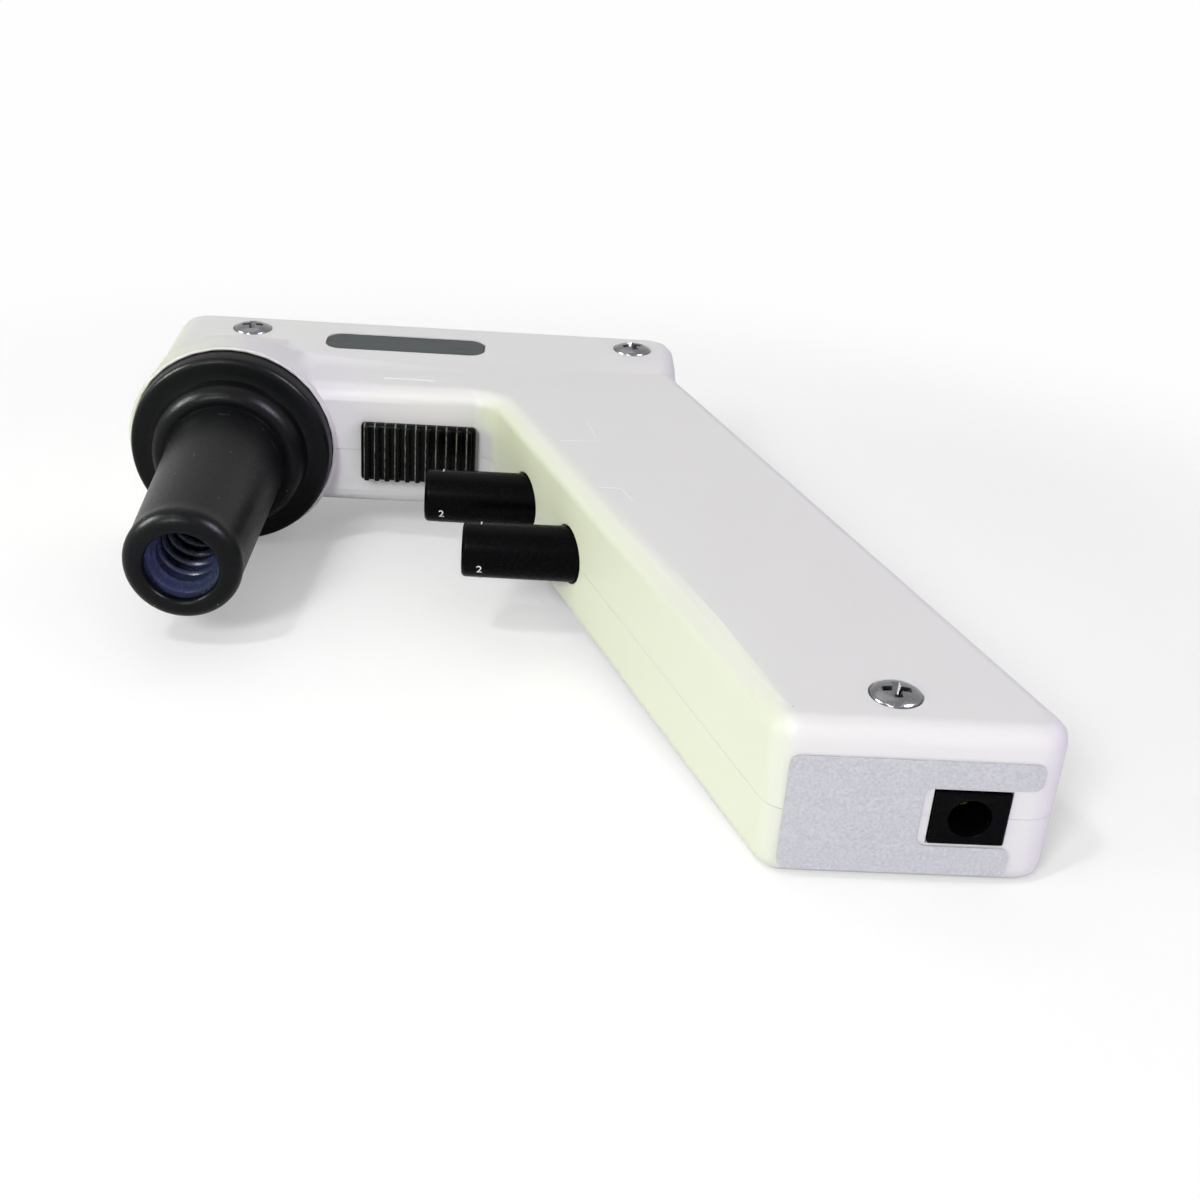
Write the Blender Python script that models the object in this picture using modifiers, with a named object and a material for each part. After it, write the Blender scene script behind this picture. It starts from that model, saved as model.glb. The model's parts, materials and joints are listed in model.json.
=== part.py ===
"""Cordless pipette controller lying on its side, as an assembly of separate pieces.

Body frame: X runs along the head towards the handle, Y from the base end towards the back of the
head, Z is across the parting plane, which is Z = 0.  The nose points to -Y and the triggers to -X.
At the end the whole assembly is tipped about X so that it rests on the collar and on the base end.
"""
import math

import bmesh
import bpy
import numpy as np
from mathutils import Matrix, Vector

for stale in list(bpy.data.objects):
    bpy.data.objects.remove(stale, do_unlink=True)

MM = 0.001

# Clearances
SEAT_GAP = 0.3 * MM
RUNNING_GAP = 0.35 * MM
FIT_GAP = 0.2 * MM
LABEL_GAP = 0.1 * MM
OVERLAP = 0.6 * MM

# Body outline, seen from above
HANDLE_SLANT = math.radians(20.53)
BASE_RIGHT_X = 15.1 * MM
HANDLE_WIDTH = 41.1 * MM
HEAD_FRONT_Y = 116.5 * MM
HEAD_DEPTH = 35.5 * MM
HEAD_OVERHANG = 15.6 * MM
HEAD_RIGHT_X = -34.8 * MM
BASE_CORNER_RADIUS = 4.5 * MM
HEAD_CORNER_RADIUS = 6.0 * MM
CROTCH_RADIUS = 6.0 * MM
NECK_RADIUS = 10.0 * MM

# Body thickness
UPPER_HALF = 14.65 * MM
UPPER_DROP = 1.3 * MM
LOWER_HALF = 12.2 * MM
EDGE_RADIUS = 3.3 * MM
EDGE_STEPS = 3
WALL = 2.1 * MM

# Raised pad on the back of the head
PAD_FRONT_Y = 130.6 * MM
PAD_RAMP = 4.6 * MM
PAD_TURN_FROM_CROTCH = 14.91 * MM
PAD_TURN_ANGLE = math.radians(24.0)

# Nose
NOSE_FROM_CROTCH = 51.49 * MM
NOSE_TIP_Y = 62.6 * MM
TIP_RADIUS = 10.4 * MM
TIP_ROUND = 2.2 * MM
TUBE_ROOT_RADIUS = 11.8 * MM
FLANGE_RADIUS = 19.7 * MM
FLANGE_RIM = 3.7 * MM
FLANGE_REAR_Y = 115.5 * MM
FLANGE_ROUND = 1.5 * MM
BEAD_RADIUS = 15.0 * MM
NOSE_SPIGOT_RADIUS = 15.0 * MM
NOSE_SPIGOT_LENGTH = 8.0 * MM
NOSE_BORE = 8.6 * MM
NOSE_MOUTH = 6.5 * MM
MOUTH_DEPTH = 1.6 * MM
FILTER_BAY = 13.0 * MM

# Collar that carries the nose
COLLAR_RADIUS = 20.6 * MM
COLLAR_REAR_RADIUS = 19.9 * MM
COLLAR_FRONT_Y = 115.8 * MM
COLLAR_SHOULDER_Y = 130.0 * MM
COLLAR_END_Y = 141.4 * MM
COLLAR_END_RADIUS = 14.2 * MM
POCKET_DEPTH = 3.4 * MM
SOCKET_RADIUS = 18.8 * MM
SOCKET_BACK = 2.0 * MM

# Pipette insert and filter
INSERT_BORE = 5.6 * MM
RIB_COUNT = 5
RIB_PITCH = 3.4 * MM
RIB_FIRST_BORE = 4.9 * MM
RIB_STEP = 0.32 * MM
FILTER_RADIUS = 12.2 * MM
FILTER_THICKNESS = 4.6 * MM
FILTER_STANDOFF = 2.6 * MM
SEAL_THICKNESS = 2.0 * MM
NIPPLE_RADIUS = 2.2 * MM
NIPPLE_LENGTH = 4.0 * MM
AIR_BORE = 1.2 * MM

# Triggers
TRIGGER_RADIUS = 5.1 * MM
TRIGGER_DRAFT = 0.12 * MM
TRIGGER_REACH = 21.0 * MM
TRIGGER_TRAVEL = 3.5 * MM
TRIGGER_ROUND = 0.9 * MM
FILL_Y = 97.1 * MM
TRIGGER_PITCH = 21.6 * MM
TRIGGER_COLLAR = 1.3 * MM
TRIGGER_COLLAR_LENGTH = 1.5 * MM
STEM_RADIUS = 1.6 * MM
STEM_SOCKET = 8.0 * MM
SPRING_WIRE = 0.3 * MM
SPRING_RADIUS = 3.0 * MM
SPRING_ROOM = 8.4 * MM
SPRING_TURNS = 4.0

# Valves
VALVE_LENGTH = 12.0 * MM
VALVE_WIDTH = 14.0 * MM
VALVE_HEIGHT = 13.0 * MM
SEAL_WIRE = 0.55 * MM
BARB_RADIUS = 1.1 * MM
BARB_LENGTH = 3.0 * MM
HOSE_RADIUS = 1.9 * MM
HOSE_BEND = 4.0 * MM
FILL_BARB_PLACE = 0.35
DISPENSE_BARB_PLACE = 0.625

# Switches
SWITCH_LENGTH = 5.6 * MM
SWITCH_DEPTH = 5.6 * MM
SWITCH_HEIGHT = 12.8 * MM
LEVER_THICKNESS = 0.5 * MM
LEVER_WIDTH = 4.0 * MM
LEVER_LENGTH = 7.2 * MM

# Mode slide
SLIDE_FROM_CROTCH = 14.59 * MM
SLIDE_Z = 0.5 * MM
SLIDE_LENGTH = 22.8 * MM
SLIDE_HEIGHT = 12.1 * MM
SLIDE_PROUD = 3.4 * MM
SLIDE_RIBS = 11
SLIDE_RIB_DEPTH = 0.9 * MM
SLIDE_TRAVEL = 3.5 * MM
SLIDE_NECK_LENGTH = 9.0 * MM
SLIDE_NECK_HEIGHT = 4.0 * MM
CARRIAGE_THICKNESS = 1.6 * MM

# Motor and pump
MOTOR_RADIUS = 10.0 * MM
MOTOR_FLAT = 15.0 * MM
MOTOR_LENGTH = 24.0 * MM
MOTOR_FROM_CROTCH = 14.09 * MM
MOTOR_FROM_BACK = 12.8 * MM
SHAFT_RADIUS = 1.0 * MM
SHAFT_REACH = 11.0 * MM
PUMP_LENGTH = 19.0 * MM
PUMP_HEIGHT = 17.0 * MM
PUMP_WALL = 2.2 * MM
PUMP_REACH = 9.3 * MM
CRANK_RADIUS = 3.0 * MM
CRANK_OFFSET = 0.5 * MM
ROD_THICKNESS = 3.0 * MM
DIAPHRAGM_THICKNESS = 1.0 * MM
HEAD_THICKNESS = 3.0 * MM

# Hose manifold, leads and power
PUMP_PORT_Z = 4.5 * MM
MANIFOLD_FROM_PALM = 8.78 * MM
MANIFOLD_FROM_FRONT = 3.5 * MM
MANIFOLD_Z = -2.5 * MM
MANIFOLD_SIZE = (7.0 * MM, 6.0 * MM, 10.0 * MM)
WIRE = 0.55 * MM
CELL_Z = 0.0
CELL_RADIUS = 7.1 * MM
CELL_LENGTH = 46.0 * MM
CELL_START = 19.5 * MM
CAP_RADIUS = 2.6 * MM
CAP_HEIGHT = 1.0 * MM
BOARD_LENGTH = 34.0 * MM
BOARD_WIDTH = 24.0 * MM
BOARD_THICKNESS = 1.2 * MM
JACK_WIDTH = 11.0 * MM
JACK_HEIGHT = 9.0 * MM
JACK_DEPTH = 13.5 * MM
JACK_PROUD = 0.5 * MM
JACK_BORE = 3.15 * MM
JACK_BORE_DEPTH = 10.0 * MM
JACK_PIN = 1.05 * MM
JACK_PIN_TIP = 4.6 * MM

# Screws
SCREW_HEAD_RADIUS = 3.85 * MM
SCREW_HEAD_HEIGHT = 1.9 * MM
SCREW_SINK = 1.0 * MM
SCREW_SHANK = 1.4 * MM
SCREW_LENGTH = 19.0 * MM
SCREW_SLOT = 0.95 * MM
POST_RADIUS = 3.6 * MM
HEAD_SCREW_FROM_END = 9.2 * MM
HEAD_SCREW_FROM_BACK = 9.0 * MM
BASE_SCREW_X = -11.2 * MM
BASE_SCREW_Y = 9.0 * MM

# Badge and label
BADGE_LENGTH = 32.6 * MM
BADGE_HEIGHT = 8.9 * MM
BADGE_FROM_CROTCH = 19.09 * MM
BADGE_FROM_BACK = 13.4 * MM
BADGE_THICKNESS = 0.8 * MM
BADGE_CORNER = 3.2 * MM
LABEL_FROM_LEFT = 1.99 * MM
LABEL_FROM_RIGHT = 5.5 * MM
LABEL_TOP_Z = 9.6 * MM
LABEL_BOTTOM_Z = -10.0 * MM
LABEL_THICKNESS = 0.25 * MM
LABEL_MARGIN = 1.6 * MM
LABEL_CORNER = 1.5 * MM
LABEL_LIP = 2.8 * MM

# Colours
HOUSING = ((0.68, 0.67, 0.65), 0.42, 0.0)
RUBBER = ((0.018, 0.018, 0.018), 0.5, 0.0)
GLOSS_BLACK = ((0.01, 0.01, 0.01), 0.18, 0.0)
BLACK_NYLON = ((0.02, 0.02, 0.02), 0.45, 0.0)
STEEL = ((0.6, 0.6, 0.6), 0.28, 1.0)
BRASS = ((0.6, 0.42, 0.16), 0.3, 1.0)
SILICONE_BLUE = ((0.12, 0.14, 0.3), 0.35, 0.0)
SILICONE_CLEAR = ((0.6, 0.6, 0.56), 0.4, 0.0)
FOIL = ((0.42, 0.43, 0.44), 0.38, 0.6)
BADGE_GREY = ((0.06, 0.065, 0.065), 0.35, 0.2)
ACETAL = ((0.75, 0.75, 0.72), 0.4, 0.0)
BOARD_GREEN = ((0.03, 0.17, 0.07), 0.45, 0.0)
CELL_GREEN = ((0.05, 0.22, 0.12), 0.35, 0.0)
MOTOR_STEEL = ((0.5, 0.5, 0.5), 0.35, 1.0)
COPPER_RED = ((0.35, 0.02, 0.02), 0.45, 0.0)
FILTER_WHITE = ((0.8, 0.8, 0.78), 0.5, 0.0)

# Sizes that follow from the ones above
HANDLE_LEAN = math.tan(HANDLE_SLANT)
HANDLE_SPAN = HANDLE_WIDTH / math.cos(HANDLE_SLANT)
WALL_SPAN = WALL / math.cos(HANDLE_SLANT)
BASE_LEFT_X = BASE_RIGHT_X - HANDLE_SPAN
HEAD_BACK_Y = HEAD_FRONT_Y + HEAD_DEPTH
CROTCH_X = BASE_LEFT_X - HANDLE_LEAN * HEAD_FRONT_Y
NOSE_X = CROTCH_X - NOSE_FROM_CROTCH
HEAD_LEFT_X = NOSE_X - HEAD_OVERHANG
SLIDE_X = CROTCH_X - SLIDE_FROM_CROTCH
PAD_TURN_X = CROTCH_X + PAD_TURN_FROM_CROTCH
HEAD_SCREW_RIGHT_X = HEAD_RIGHT_X - HEAD_SCREW_FROM_END
HEAD_SCREW_Y = HEAD_BACK_Y - HEAD_SCREW_FROM_BACK
BADGE_X = CROTCH_X - BADGE_FROM_CROTCH
BADGE_Y = HEAD_BACK_Y - BADGE_FROM_BACK
MOTOR_X = CROTCH_X - MOTOR_FROM_CROTCH
MOTOR_Y = HEAD_BACK_Y - MOTOR_FROM_BACK
LABEL_LEFT_X = BASE_LEFT_X + LABEL_FROM_LEFT
LABEL_RIGHT_X = BASE_RIGHT_X - LABEL_FROM_RIGHT
DISPENSE_Y = FILL_Y - TRIGGER_PITCH
TRIGGER_HOLE = TRIGGER_RADIUS + RUNNING_GAP
COLLAR_POCKET_Y = COLLAR_FRONT_Y + POCKET_DEPTH
FLOOR_Z = -LOWER_HALF + WALL
MOTOR_END_X = MOTOR_X + 0.5 * MOTOR_LENGTH
PUMP_START_X = MOTOR_END_X + SEAT_GAP
PUMP_END_X = PUMP_START_X + PUMP_LENGTH


def inner_face_x(y):
    """Outside of the handle's trigger side at parting-plane height."""
    return BASE_LEFT_X - HANDLE_LEAN * y


def back_face_x(y):
    """Outside of the handle's palm side."""
    return BASE_RIGHT_X - HANDLE_LEAN * y


def upper_level(y):
    """Height of the tapered upper face, before the pad is added."""
    return UPPER_HALF - UPPER_DROP * y / HEAD_FRONT_Y


def make_collection(name):
    group = bpy.data.collections.new(name)
    bpy.context.scene.collection.children.link(group)
    return group


PARTS = make_collection("pipette_controller")
CUTTERS = make_collection("cutters")
MATERIALS = {}


def material(look):
    if look in MATERIALS:
        return MATERIALS[look]
    colour, roughness, metallic = look
    made = bpy.data.materials.new("finish_%02d" % (len(MATERIALS) + 1))
    made.use_nodes = True
    shader = made.node_tree.nodes["Principled BSDF"]
    shader.inputs["Base Color"].default_value = (*colour, 1.0)
    shader.inputs["Roughness"].default_value = roughness
    shader.inputs["Metallic"].default_value = metallic
    MATERIALS[look] = made
    return made


def link(name, mesh, look=None):
    """Put a mesh in the parts when it has a look, or in the cutters when it has none."""
    piece = bpy.data.objects.new(name, mesh)
    if look is None:
        CUTTERS.objects.link(piece)
        piece.hide_render = True
        piece.display_type = 'WIRE'
    else:
        PARTS.objects.link(piece)
        mesh.materials.clear()
        mesh.materials.append(material(look))
    return piece


def finish_mesh(name, shape):
    bmesh.ops.recalc_face_normals(shape, faces=shape.faces)
    mesh = bpy.data.meshes.new(name)
    shape.to_mesh(mesh)
    shape.free()
    mesh.shade_smooth()
    mesh.set_sharp_from_angle(angle=math.radians(35.0))
    return mesh


def block(name, x, y, z, look=None, turn=None):
    """A box between two limits on each axis, optionally turned about a vertical line."""
    shape = bmesh.new()
    size = Matrix.Diagonal((x[1] - x[0], y[1] - y[0], z[1] - z[0], 1.0))
    centre = Matrix.Translation(((x[0] + x[1]) / 2, (y[0] + y[1]) / 2, (z[0] + z[1]) / 2))
    bmesh.ops.create_cube(shape, size=1.0, matrix=centre @ size)
    if turn:
        bmesh.ops.transform(shape, matrix=turn, verts=shape.verts)
    return link(name, finish_mesh(name, shape), look)


def rod(name, start, end, radius, look=None, sides=24, end_radius=None):
    """A cylinder or cone between two points."""
    start = Vector(start)
    end = Vector(end)
    shape = bmesh.new()
    aim = (end - start).to_track_quat('Z', 'Y').to_matrix().to_4x4()
    place = Matrix.Translation((start + end) / 2) @ aim
    bmesh.ops.create_cone(shape, cap_ends=True, segments=sides, radius1=radius,
                          radius2=radius if end_radius is None else end_radius,
                          depth=(end - start).length, matrix=place)
    return link(name, finish_mesh(name, shape), look)


def baked(name, source, look=None, merge=True):
    """Turn an evaluated curve or modified object into a plain mesh object."""
    bpy.context.view_layer.update()
    graph = bpy.context.evaluated_depsgraph_get()
    mesh = bpy.data.meshes.new_from_object(source.evaluated_get(graph))
    shape = bmesh.new()
    shape.from_mesh(mesh)
    bpy.data.meshes.remove(mesh)
    bmesh.ops.transform(shape, matrix=source.matrix_world, verts=shape.verts)
    if merge:
        bmesh.ops.remove_doubles(shape, verts=shape.verts, dist=0.002 * MM)
    bpy.data.objects.remove(source, do_unlink=True)
    return link(name, finish_mesh(name, shape), look)


def turned(name, profile, x, look=None, steps=32, z=0.0, closed=False, axis='Y'):
    """Revolve (radius, station) pairs about a line along Y or X through the given centre."""
    mesh = bpy.data.meshes.new(name)
    shape = bmesh.new()
    row = [shape.verts.new((radius, 0.0, station)) for radius, station in profile]
    for first, second in zip(row, row[1:]):
        shape.edges.new((first, second))
    if closed:
        shape.edges.new((row[-1], row[0]))
    shape.to_mesh(mesh)
    shape.free()
    piece = bpy.data.objects.new(name, mesh)
    CUTTERS.objects.link(piece)
    screw = piece.modifiers.new("turn", 'SCREW')
    screw.steps = steps
    screw.render_steps = steps
    screw.use_merge_vertices = True
    screw.merge_threshold = 0.002 * MM
    if axis == 'Y':
        piece.matrix_world = Matrix.Translation((x, 0.0, z)) @ Matrix.Rotation(-math.pi / 2, 4, 'X')
    else:
        piece.matrix_world = Matrix.Translation((0.0, x, z)) @ Matrix.Rotation(math.pi / 2, 4, 'Y')
    return baked(name, piece, look)


def flat_outline(name, points, bottom, top, look=None):
    """Extrude a plan outline between two heights, as a filled 2D curve made into a mesh."""
    curve = bpy.data.curves.new(name, 'CURVE')
    curve.dimensions = '2D'
    curve.fill_mode = 'BOTH'
    curve.extrude = (top - bottom) / 2
    spline = curve.splines.new('POLY')
    spline.points.add(len(points) - 1)
    for slot, (x, y) in zip(spline.points, points):
        slot.co = (x, y, 0.0, 1.0)
    spline.use_cyclic_u = True
    piece = bpy.data.objects.new(name, curve)
    CUTTERS.objects.link(piece)
    piece.location.z = (top + bottom) / 2
    made = baked(name, piece, look)
    shape = bmesh.new()
    shape.from_mesh(made.data)
    bmesh.ops.dissolve_limit(shape, angle_limit=math.radians(1.0), verts=shape.verts,
                             edges=shape.edges)
    shape.to_mesh(made.data)
    shape.free()
    return made


def hose(name, points, radius, look, bore=0.0, samples=5, resolution=2):
    """A smooth round run through the given points, straight at both ends, hollow with a bore."""
    knots = [Vector(p) for p in points]
    path = [knots[0]]
    for index in range(1, len(knots) - 2):
        before = knots[max(index - 1, 0)]
        start = knots[index]
        end = knots[index + 1]
        after = knots[min(index + 2, len(knots) - 1)]
        for step in range(samples):
            t = step / samples
            path.append(0.5 * ((2 * start) + (end - before) * t
                               + (2 * before - 5 * start + 4 * end - after) * t * t
                               + (3 * start - before - 3 * end + after) * t ** 3))
    path += knots[-2:]
    curve = bpy.data.curves.new(name, 'CURVE')
    curve.dimensions = '3D'
    curve.bevel_depth = radius
    curve.bevel_resolution = resolution
    curve.use_fill_caps = not bore
    spline = curve.splines.new('POLY')
    spline.points.add(len(path) - 1)
    for slot, place in zip(spline.points, path):
        slot.co = (*place, 1.0)
    piece = bpy.data.objects.new(name, curve)
    CUTTERS.objects.link(piece)
    made = baked(name, piece, look)
    if bore:
        solid = made.modifiers.new("wall", 'SOLIDIFY')
        solid.thickness = radius - bore
        solid.offset = -1.0
    return made


def cut(piece, tool, operation='DIFFERENCE'):
    step = piece.modifiers.new(operation.lower() + "_" + tool.name, 'BOOLEAN')
    step.operation = operation
    step.solver = 'EXACT'
    step.object = tool
    return piece


def joined(name, base, tools, look):
    """Union of a base with its tools, made into one plain mesh."""
    for tool in tools:
        cut(base, tool, 'UNION')
    made = baked(name, base, look)
    for tool in tools:
        bpy.data.objects.remove(tool, do_unlink=True)
    return made


def pivot(piece, point):
    """Move an object's origin to a joint axis without moving its shape."""
    point = Vector(point)
    piece.data.transform(Matrix.Translation(-point))
    piece.location = point
    return piece


def arc(centre, radius, start, end, steps):
    """Points of a circular arc in the profile plane."""
    return [(centre[0] + radius * math.cos(start + (end - start) * i / steps),
             centre[1] + radius * math.sin(start + (end - start) * i / steps))
            for i in range(steps + 1)]


def rounded(corners, segments=6):
    """Plan outline with filleted corners, from (x, y, radius) corners in order."""
    points = []
    count = len(corners)
    for index in range(count):
        x, y, radius = corners[index]
        here = Vector((x, y))
        back = (Vector(corners[index - 1][:2]) - here).normalized()
        ahead = (Vector(corners[(index + 1) % count][:2]) - here).normalized()
        half = back.angle(ahead) / 2
        reach = radius / math.tan(half)
        middle = here + (back + ahead).normalized() * (radius / math.sin(half))
        first = here + back * reach - middle
        last = here + ahead * reach - middle
        sweep = first.angle_signed(last)
        for step in range(segments + 1):
            turn = -sweep * step / segments
            points.append((middle.x + first.x * math.cos(turn) - first.y * math.sin(turn),
                           middle.y + first.x * math.sin(turn) + first.y * math.cos(turn)))
    return points


def body_corners(inset):
    """Corners of the body outline moved inwards, counter-clockwise from the base's left corner."""
    lean = inset / math.cos(HANDLE_SLANT)
    left = BASE_LEFT_X + lean
    right = BASE_RIGHT_X - lean
    front = HEAD_FRONT_Y + inset
    back = HEAD_BACK_Y - inset
    end = HEAD_RIGHT_X - inset
    neck_y = (right - end) / HANDLE_LEAN
    convex = max(BASE_CORNER_RADIUS - inset, 0.8 * MM)
    head = max(HEAD_CORNER_RADIUS - inset, 0.8 * MM)
    return [
        (left - HANDLE_LEAN * inset, inset, convex),
        (right - HANDLE_LEAN * inset, inset, convex),
        (end, neck_y, NECK_RADIUS + inset),
        (end, back, head),
        (HEAD_LEFT_X + inset, back, head),
        (HEAD_LEFT_X + inset, front, convex),
        (left - HANDLE_LEAN * front, front, CROTCH_RADIUS + inset),
    ]


def pad_level(x, y):
    """Height of the upper face with the raised pad and its ramps."""
    slope = (UPPER_HALF - upper_level(PAD_FRONT_Y)) / PAD_RAMP
    straight = UPPER_HALF + (y - PAD_FRONT_Y) * slope
    sloped_front = PAD_FRONT_Y + (x - PAD_TURN_X) * math.tan(PAD_TURN_ANGLE)
    turned_ramp = UPPER_HALF + (y - sloped_front) * math.cos(PAD_TURN_ANGLE) * slope
    return max(upper_level(y), min(UPPER_HALF, straight, turned_ramp))


def crease(shape, point, direction):
    """Split every face along a vertical plane through a plan line."""
    normal = Vector((-direction[1], direction[0], 0.0)).normalized()
    geometry = list(shape.verts) + list(shape.edges) + list(shape.faces)
    bmesh.ops.bisect_plane(shape, geom=geometry, dist=0.001 * MM, plane_co=(*point, 0.0),
                           plane_no=normal)


def body_blank():
    """Outer form of both halves together, with the pad's ramps folded into the upper face."""
    plain = flat_outline("body_blank", rounded(body_corners(0.0)), -LOWER_HALF, UPPER_HALF)
    soft = plain.modifiers.new("edge round", 'BEVEL')
    soft.width = EDGE_RADIUS
    soft.segments = EDGE_STEPS
    soft.limit_method = 'ANGLE'
    soft.angle_limit = math.radians(60.0)
    soft.use_clamp_overlap = False
    made = baked("body_blank", plain)
    shape = bmesh.new()
    shape.from_mesh(made.data)
    turn = (math.cos(PAD_TURN_ANGLE), math.sin(PAD_TURN_ANGLE))
    toe = PAD_RAMP / math.cos(PAD_TURN_ANGLE)
    half = (math.cos(PAD_TURN_ANGLE / 2), math.sin(PAD_TURN_ANGLE / 2))
    across = (-half[1], half[0])
    crease(shape, (0.0, PAD_FRONT_Y), (1.0, 0.0))
    crease(shape, (0.0, PAD_FRONT_Y - PAD_RAMP), (1.0, 0.0))
    crease(shape, (PAD_TURN_X, PAD_FRONT_Y), turn)
    crease(shape, (PAD_TURN_X, PAD_FRONT_Y - toe), turn)
    crease(shape, (PAD_TURN_X, PAD_FRONT_Y), across)
    for vertex in shape.verts:
        if vertex.co.z > 0.0:
            vertex.co.z *= pad_level(vertex.co.x, vertex.co.y) / UPPER_HALF
    shape.normal_update()
    spare = [e for e in shape.edges if e.calc_face_angle(0.0) < math.radians(0.2)]
    bmesh.ops.dissolve_edges(shape, edges=spare, use_verts=False, use_face_split=False)
    loose = [v for v in shape.verts if len(v.link_edges) == 2
             and abs(v.calc_edge_angle(1.0)) < math.radians(0.05)]
    bmesh.ops.dissolve_verts(shape, verts=loose)
    shape.to_mesh(made.data)
    shape.free()
    return made


# Outer form with the nose collar, before it is parted
blank = body_blank()
collar = turned("collar_form", [
    (0.0, COLLAR_END_Y),
    (0.8 * COLLAR_END_RADIUS, COLLAR_END_Y - 0.4 * MM),
    (COLLAR_END_RADIUS, COLLAR_END_Y - 2.0 * MM),
    (0.5 * (COLLAR_END_RADIUS + COLLAR_REAR_RADIUS), 0.4 * COLLAR_SHOULDER_Y + 0.6 * COLLAR_END_Y),
    (COLLAR_REAR_RADIUS - 0.6 * MM, COLLAR_SHOULDER_Y + 1.6 * MM),
    (COLLAR_REAR_RADIUS, COLLAR_SHOULDER_Y),
    (COLLAR_RADIUS, COLLAR_FRONT_Y + 0.4 * MM),
    (COLLAR_RADIUS - 0.4 * MM, COLLAR_FRONT_Y),
    (0.0, COLLAR_FRONT_Y)], NOSE_X, steps=48)
cut(blank, collar, 'UNION')
outer = baked("outer_form", blank)
bpy.data.objects.remove(collar, do_unlink=True)

# Inside of the shell
cavity = flat_outline("cavity", rounded(body_corners(WALL), 4), FLOOR_Z, UPPER_HALF)
for vertex in cavity.data.vertices:
    if vertex.co.z > 0.0:
        vertex.co.z = upper_level(vertex.co.y) - WALL
nose_hollow = turned("nose_hollow", [
    (0.0, COLLAR_END_Y - 3.0 * MM),
    (COLLAR_END_RADIUS - 4.0 * MM, COLLAR_END_Y - 3.0 * MM),
    (COLLAR_REAR_RADIUS - 2.8 * MM, COLLAR_SHOULDER_Y - 0.5 * MM),
    (COLLAR_REAR_RADIUS - 2.8 * MM, COLLAR_SHOULDER_Y - 1.5 * MM),
    (SOCKET_RADIUS + FIT_GAP, COLLAR_SHOULDER_Y - 1.5 * MM),
    (SOCKET_RADIUS + FIT_GAP, COLLAR_POCKET_Y),
    (FLANGE_RADIUS + FIT_GAP, COLLAR_POCKET_Y),
    (FLANGE_RADIUS + FIT_GAP, COLLAR_FRONT_Y - 5.0 * MM),
    (0.0, COLLAR_FRONT_Y - 5.0 * MM)], NOSE_X, steps=36)

SCREWS = {
    "screw_nose_end": (NOSE_X, HEAD_SCREW_Y),
    "screw_back_corner": (HEAD_SCREW_RIGHT_X, HEAD_SCREW_Y),
    "screw_base_end": (BASE_SCREW_X, BASE_SCREW_Y),
}
TRIGGERS = {"fill": FILL_Y, "dispense": DISPENSE_Y}


def trigger_places(y):
    """Stations along X of what belongs to one trigger."""
    hole_edge = y - TRIGGER_HOLE - TRIGGER_COLLAR
    collar_x = inner_face_x(hole_edge) + WALL_SPAN + SEAT_GAP
    collar_back = collar_x + TRIGGER_COLLAR_LENGTH
    valve_x = collar_back + SPRING_ROOM
    return {
        "tip": inner_face_x(y) - TRIGGER_REACH + TRIGGER_RADIUS * HANDLE_LEAN,
        "collar": collar_x,
        "collar_back": collar_back,
        "valve": valve_x,
        "valve_back": valve_x + VALVE_LENGTH,
        "lever": collar_back + SEAT_GAP,
        "hinge_y": y + TRIGGER_RADIUS + LEVER_LENGTH,
    }


# Openings in the shell wall
openings = [cavity, nose_hollow]
for label, y in TRIGGERS.items():
    places = trigger_places(y)
    openings.append(rod(label + "_hole", (inner_face_x(y) - 8.0 * MM, y, 0.0),
                        (places["collar"] + 2.0 * MM, y, 0.0), TRIGGER_HOLE, sides=32))
slot_start = SLIDE_X - SLIDE_NECK_LENGTH / 2 - SLIDE_TRAVEL - FIT_GAP
slot_end = SLIDE_X + SLIDE_NECK_LENGTH / 2 + FIT_GAP
openings.append(block("mode_slot", (slot_start, slot_end),
                      (HEAD_FRONT_Y - 3.0 * MM, HEAD_FRONT_Y + WALL + 1.0 * MM),
                      (SLIDE_Z - SLIDE_NECK_HEIGHT / 2 - FIT_GAP,
                       SLIDE_Z + SLIDE_NECK_HEIGHT / 2 + FIT_GAP)))
openings.append(block("jack_window", (-JACK_WIDTH / 2 - FIT_GAP, JACK_WIDTH / 2 + FIT_GAP),
                      (-3.0 * MM, WALL + 2.0 * MM),
                      (-JACK_HEIGHT / 2 - FIT_GAP, JACK_HEIGHT / 2 + FIT_GAP)))


def half(name, above):
    """One housing half: the outer form on one side of the parting plane, shelled and pierced."""
    shell = link(name, outer.data.copy(), HOUSING)
    reach = 0.3
    if above:
        keep = block(name + "_side", (-reach, reach), (-reach, reach), (SEAT_GAP / 2, reach))
    else:
        keep = block(name + "_side", (-reach, reach), (-reach, reach), (-reach, -SEAT_GAP / 2))
    cut(shell, keep, 'INTERSECT')
    for tool in openings:
        cut(shell, tool)
    return shell


upper = half("upper_housing", True)
lower = half("lower_housing", False)


def add(shell, tool):
    cut(shell, tool, 'UNION')


def screw_top(y):
    return UPPER_HALF if y > PAD_FRONT_Y else upper_level(y)


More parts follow.
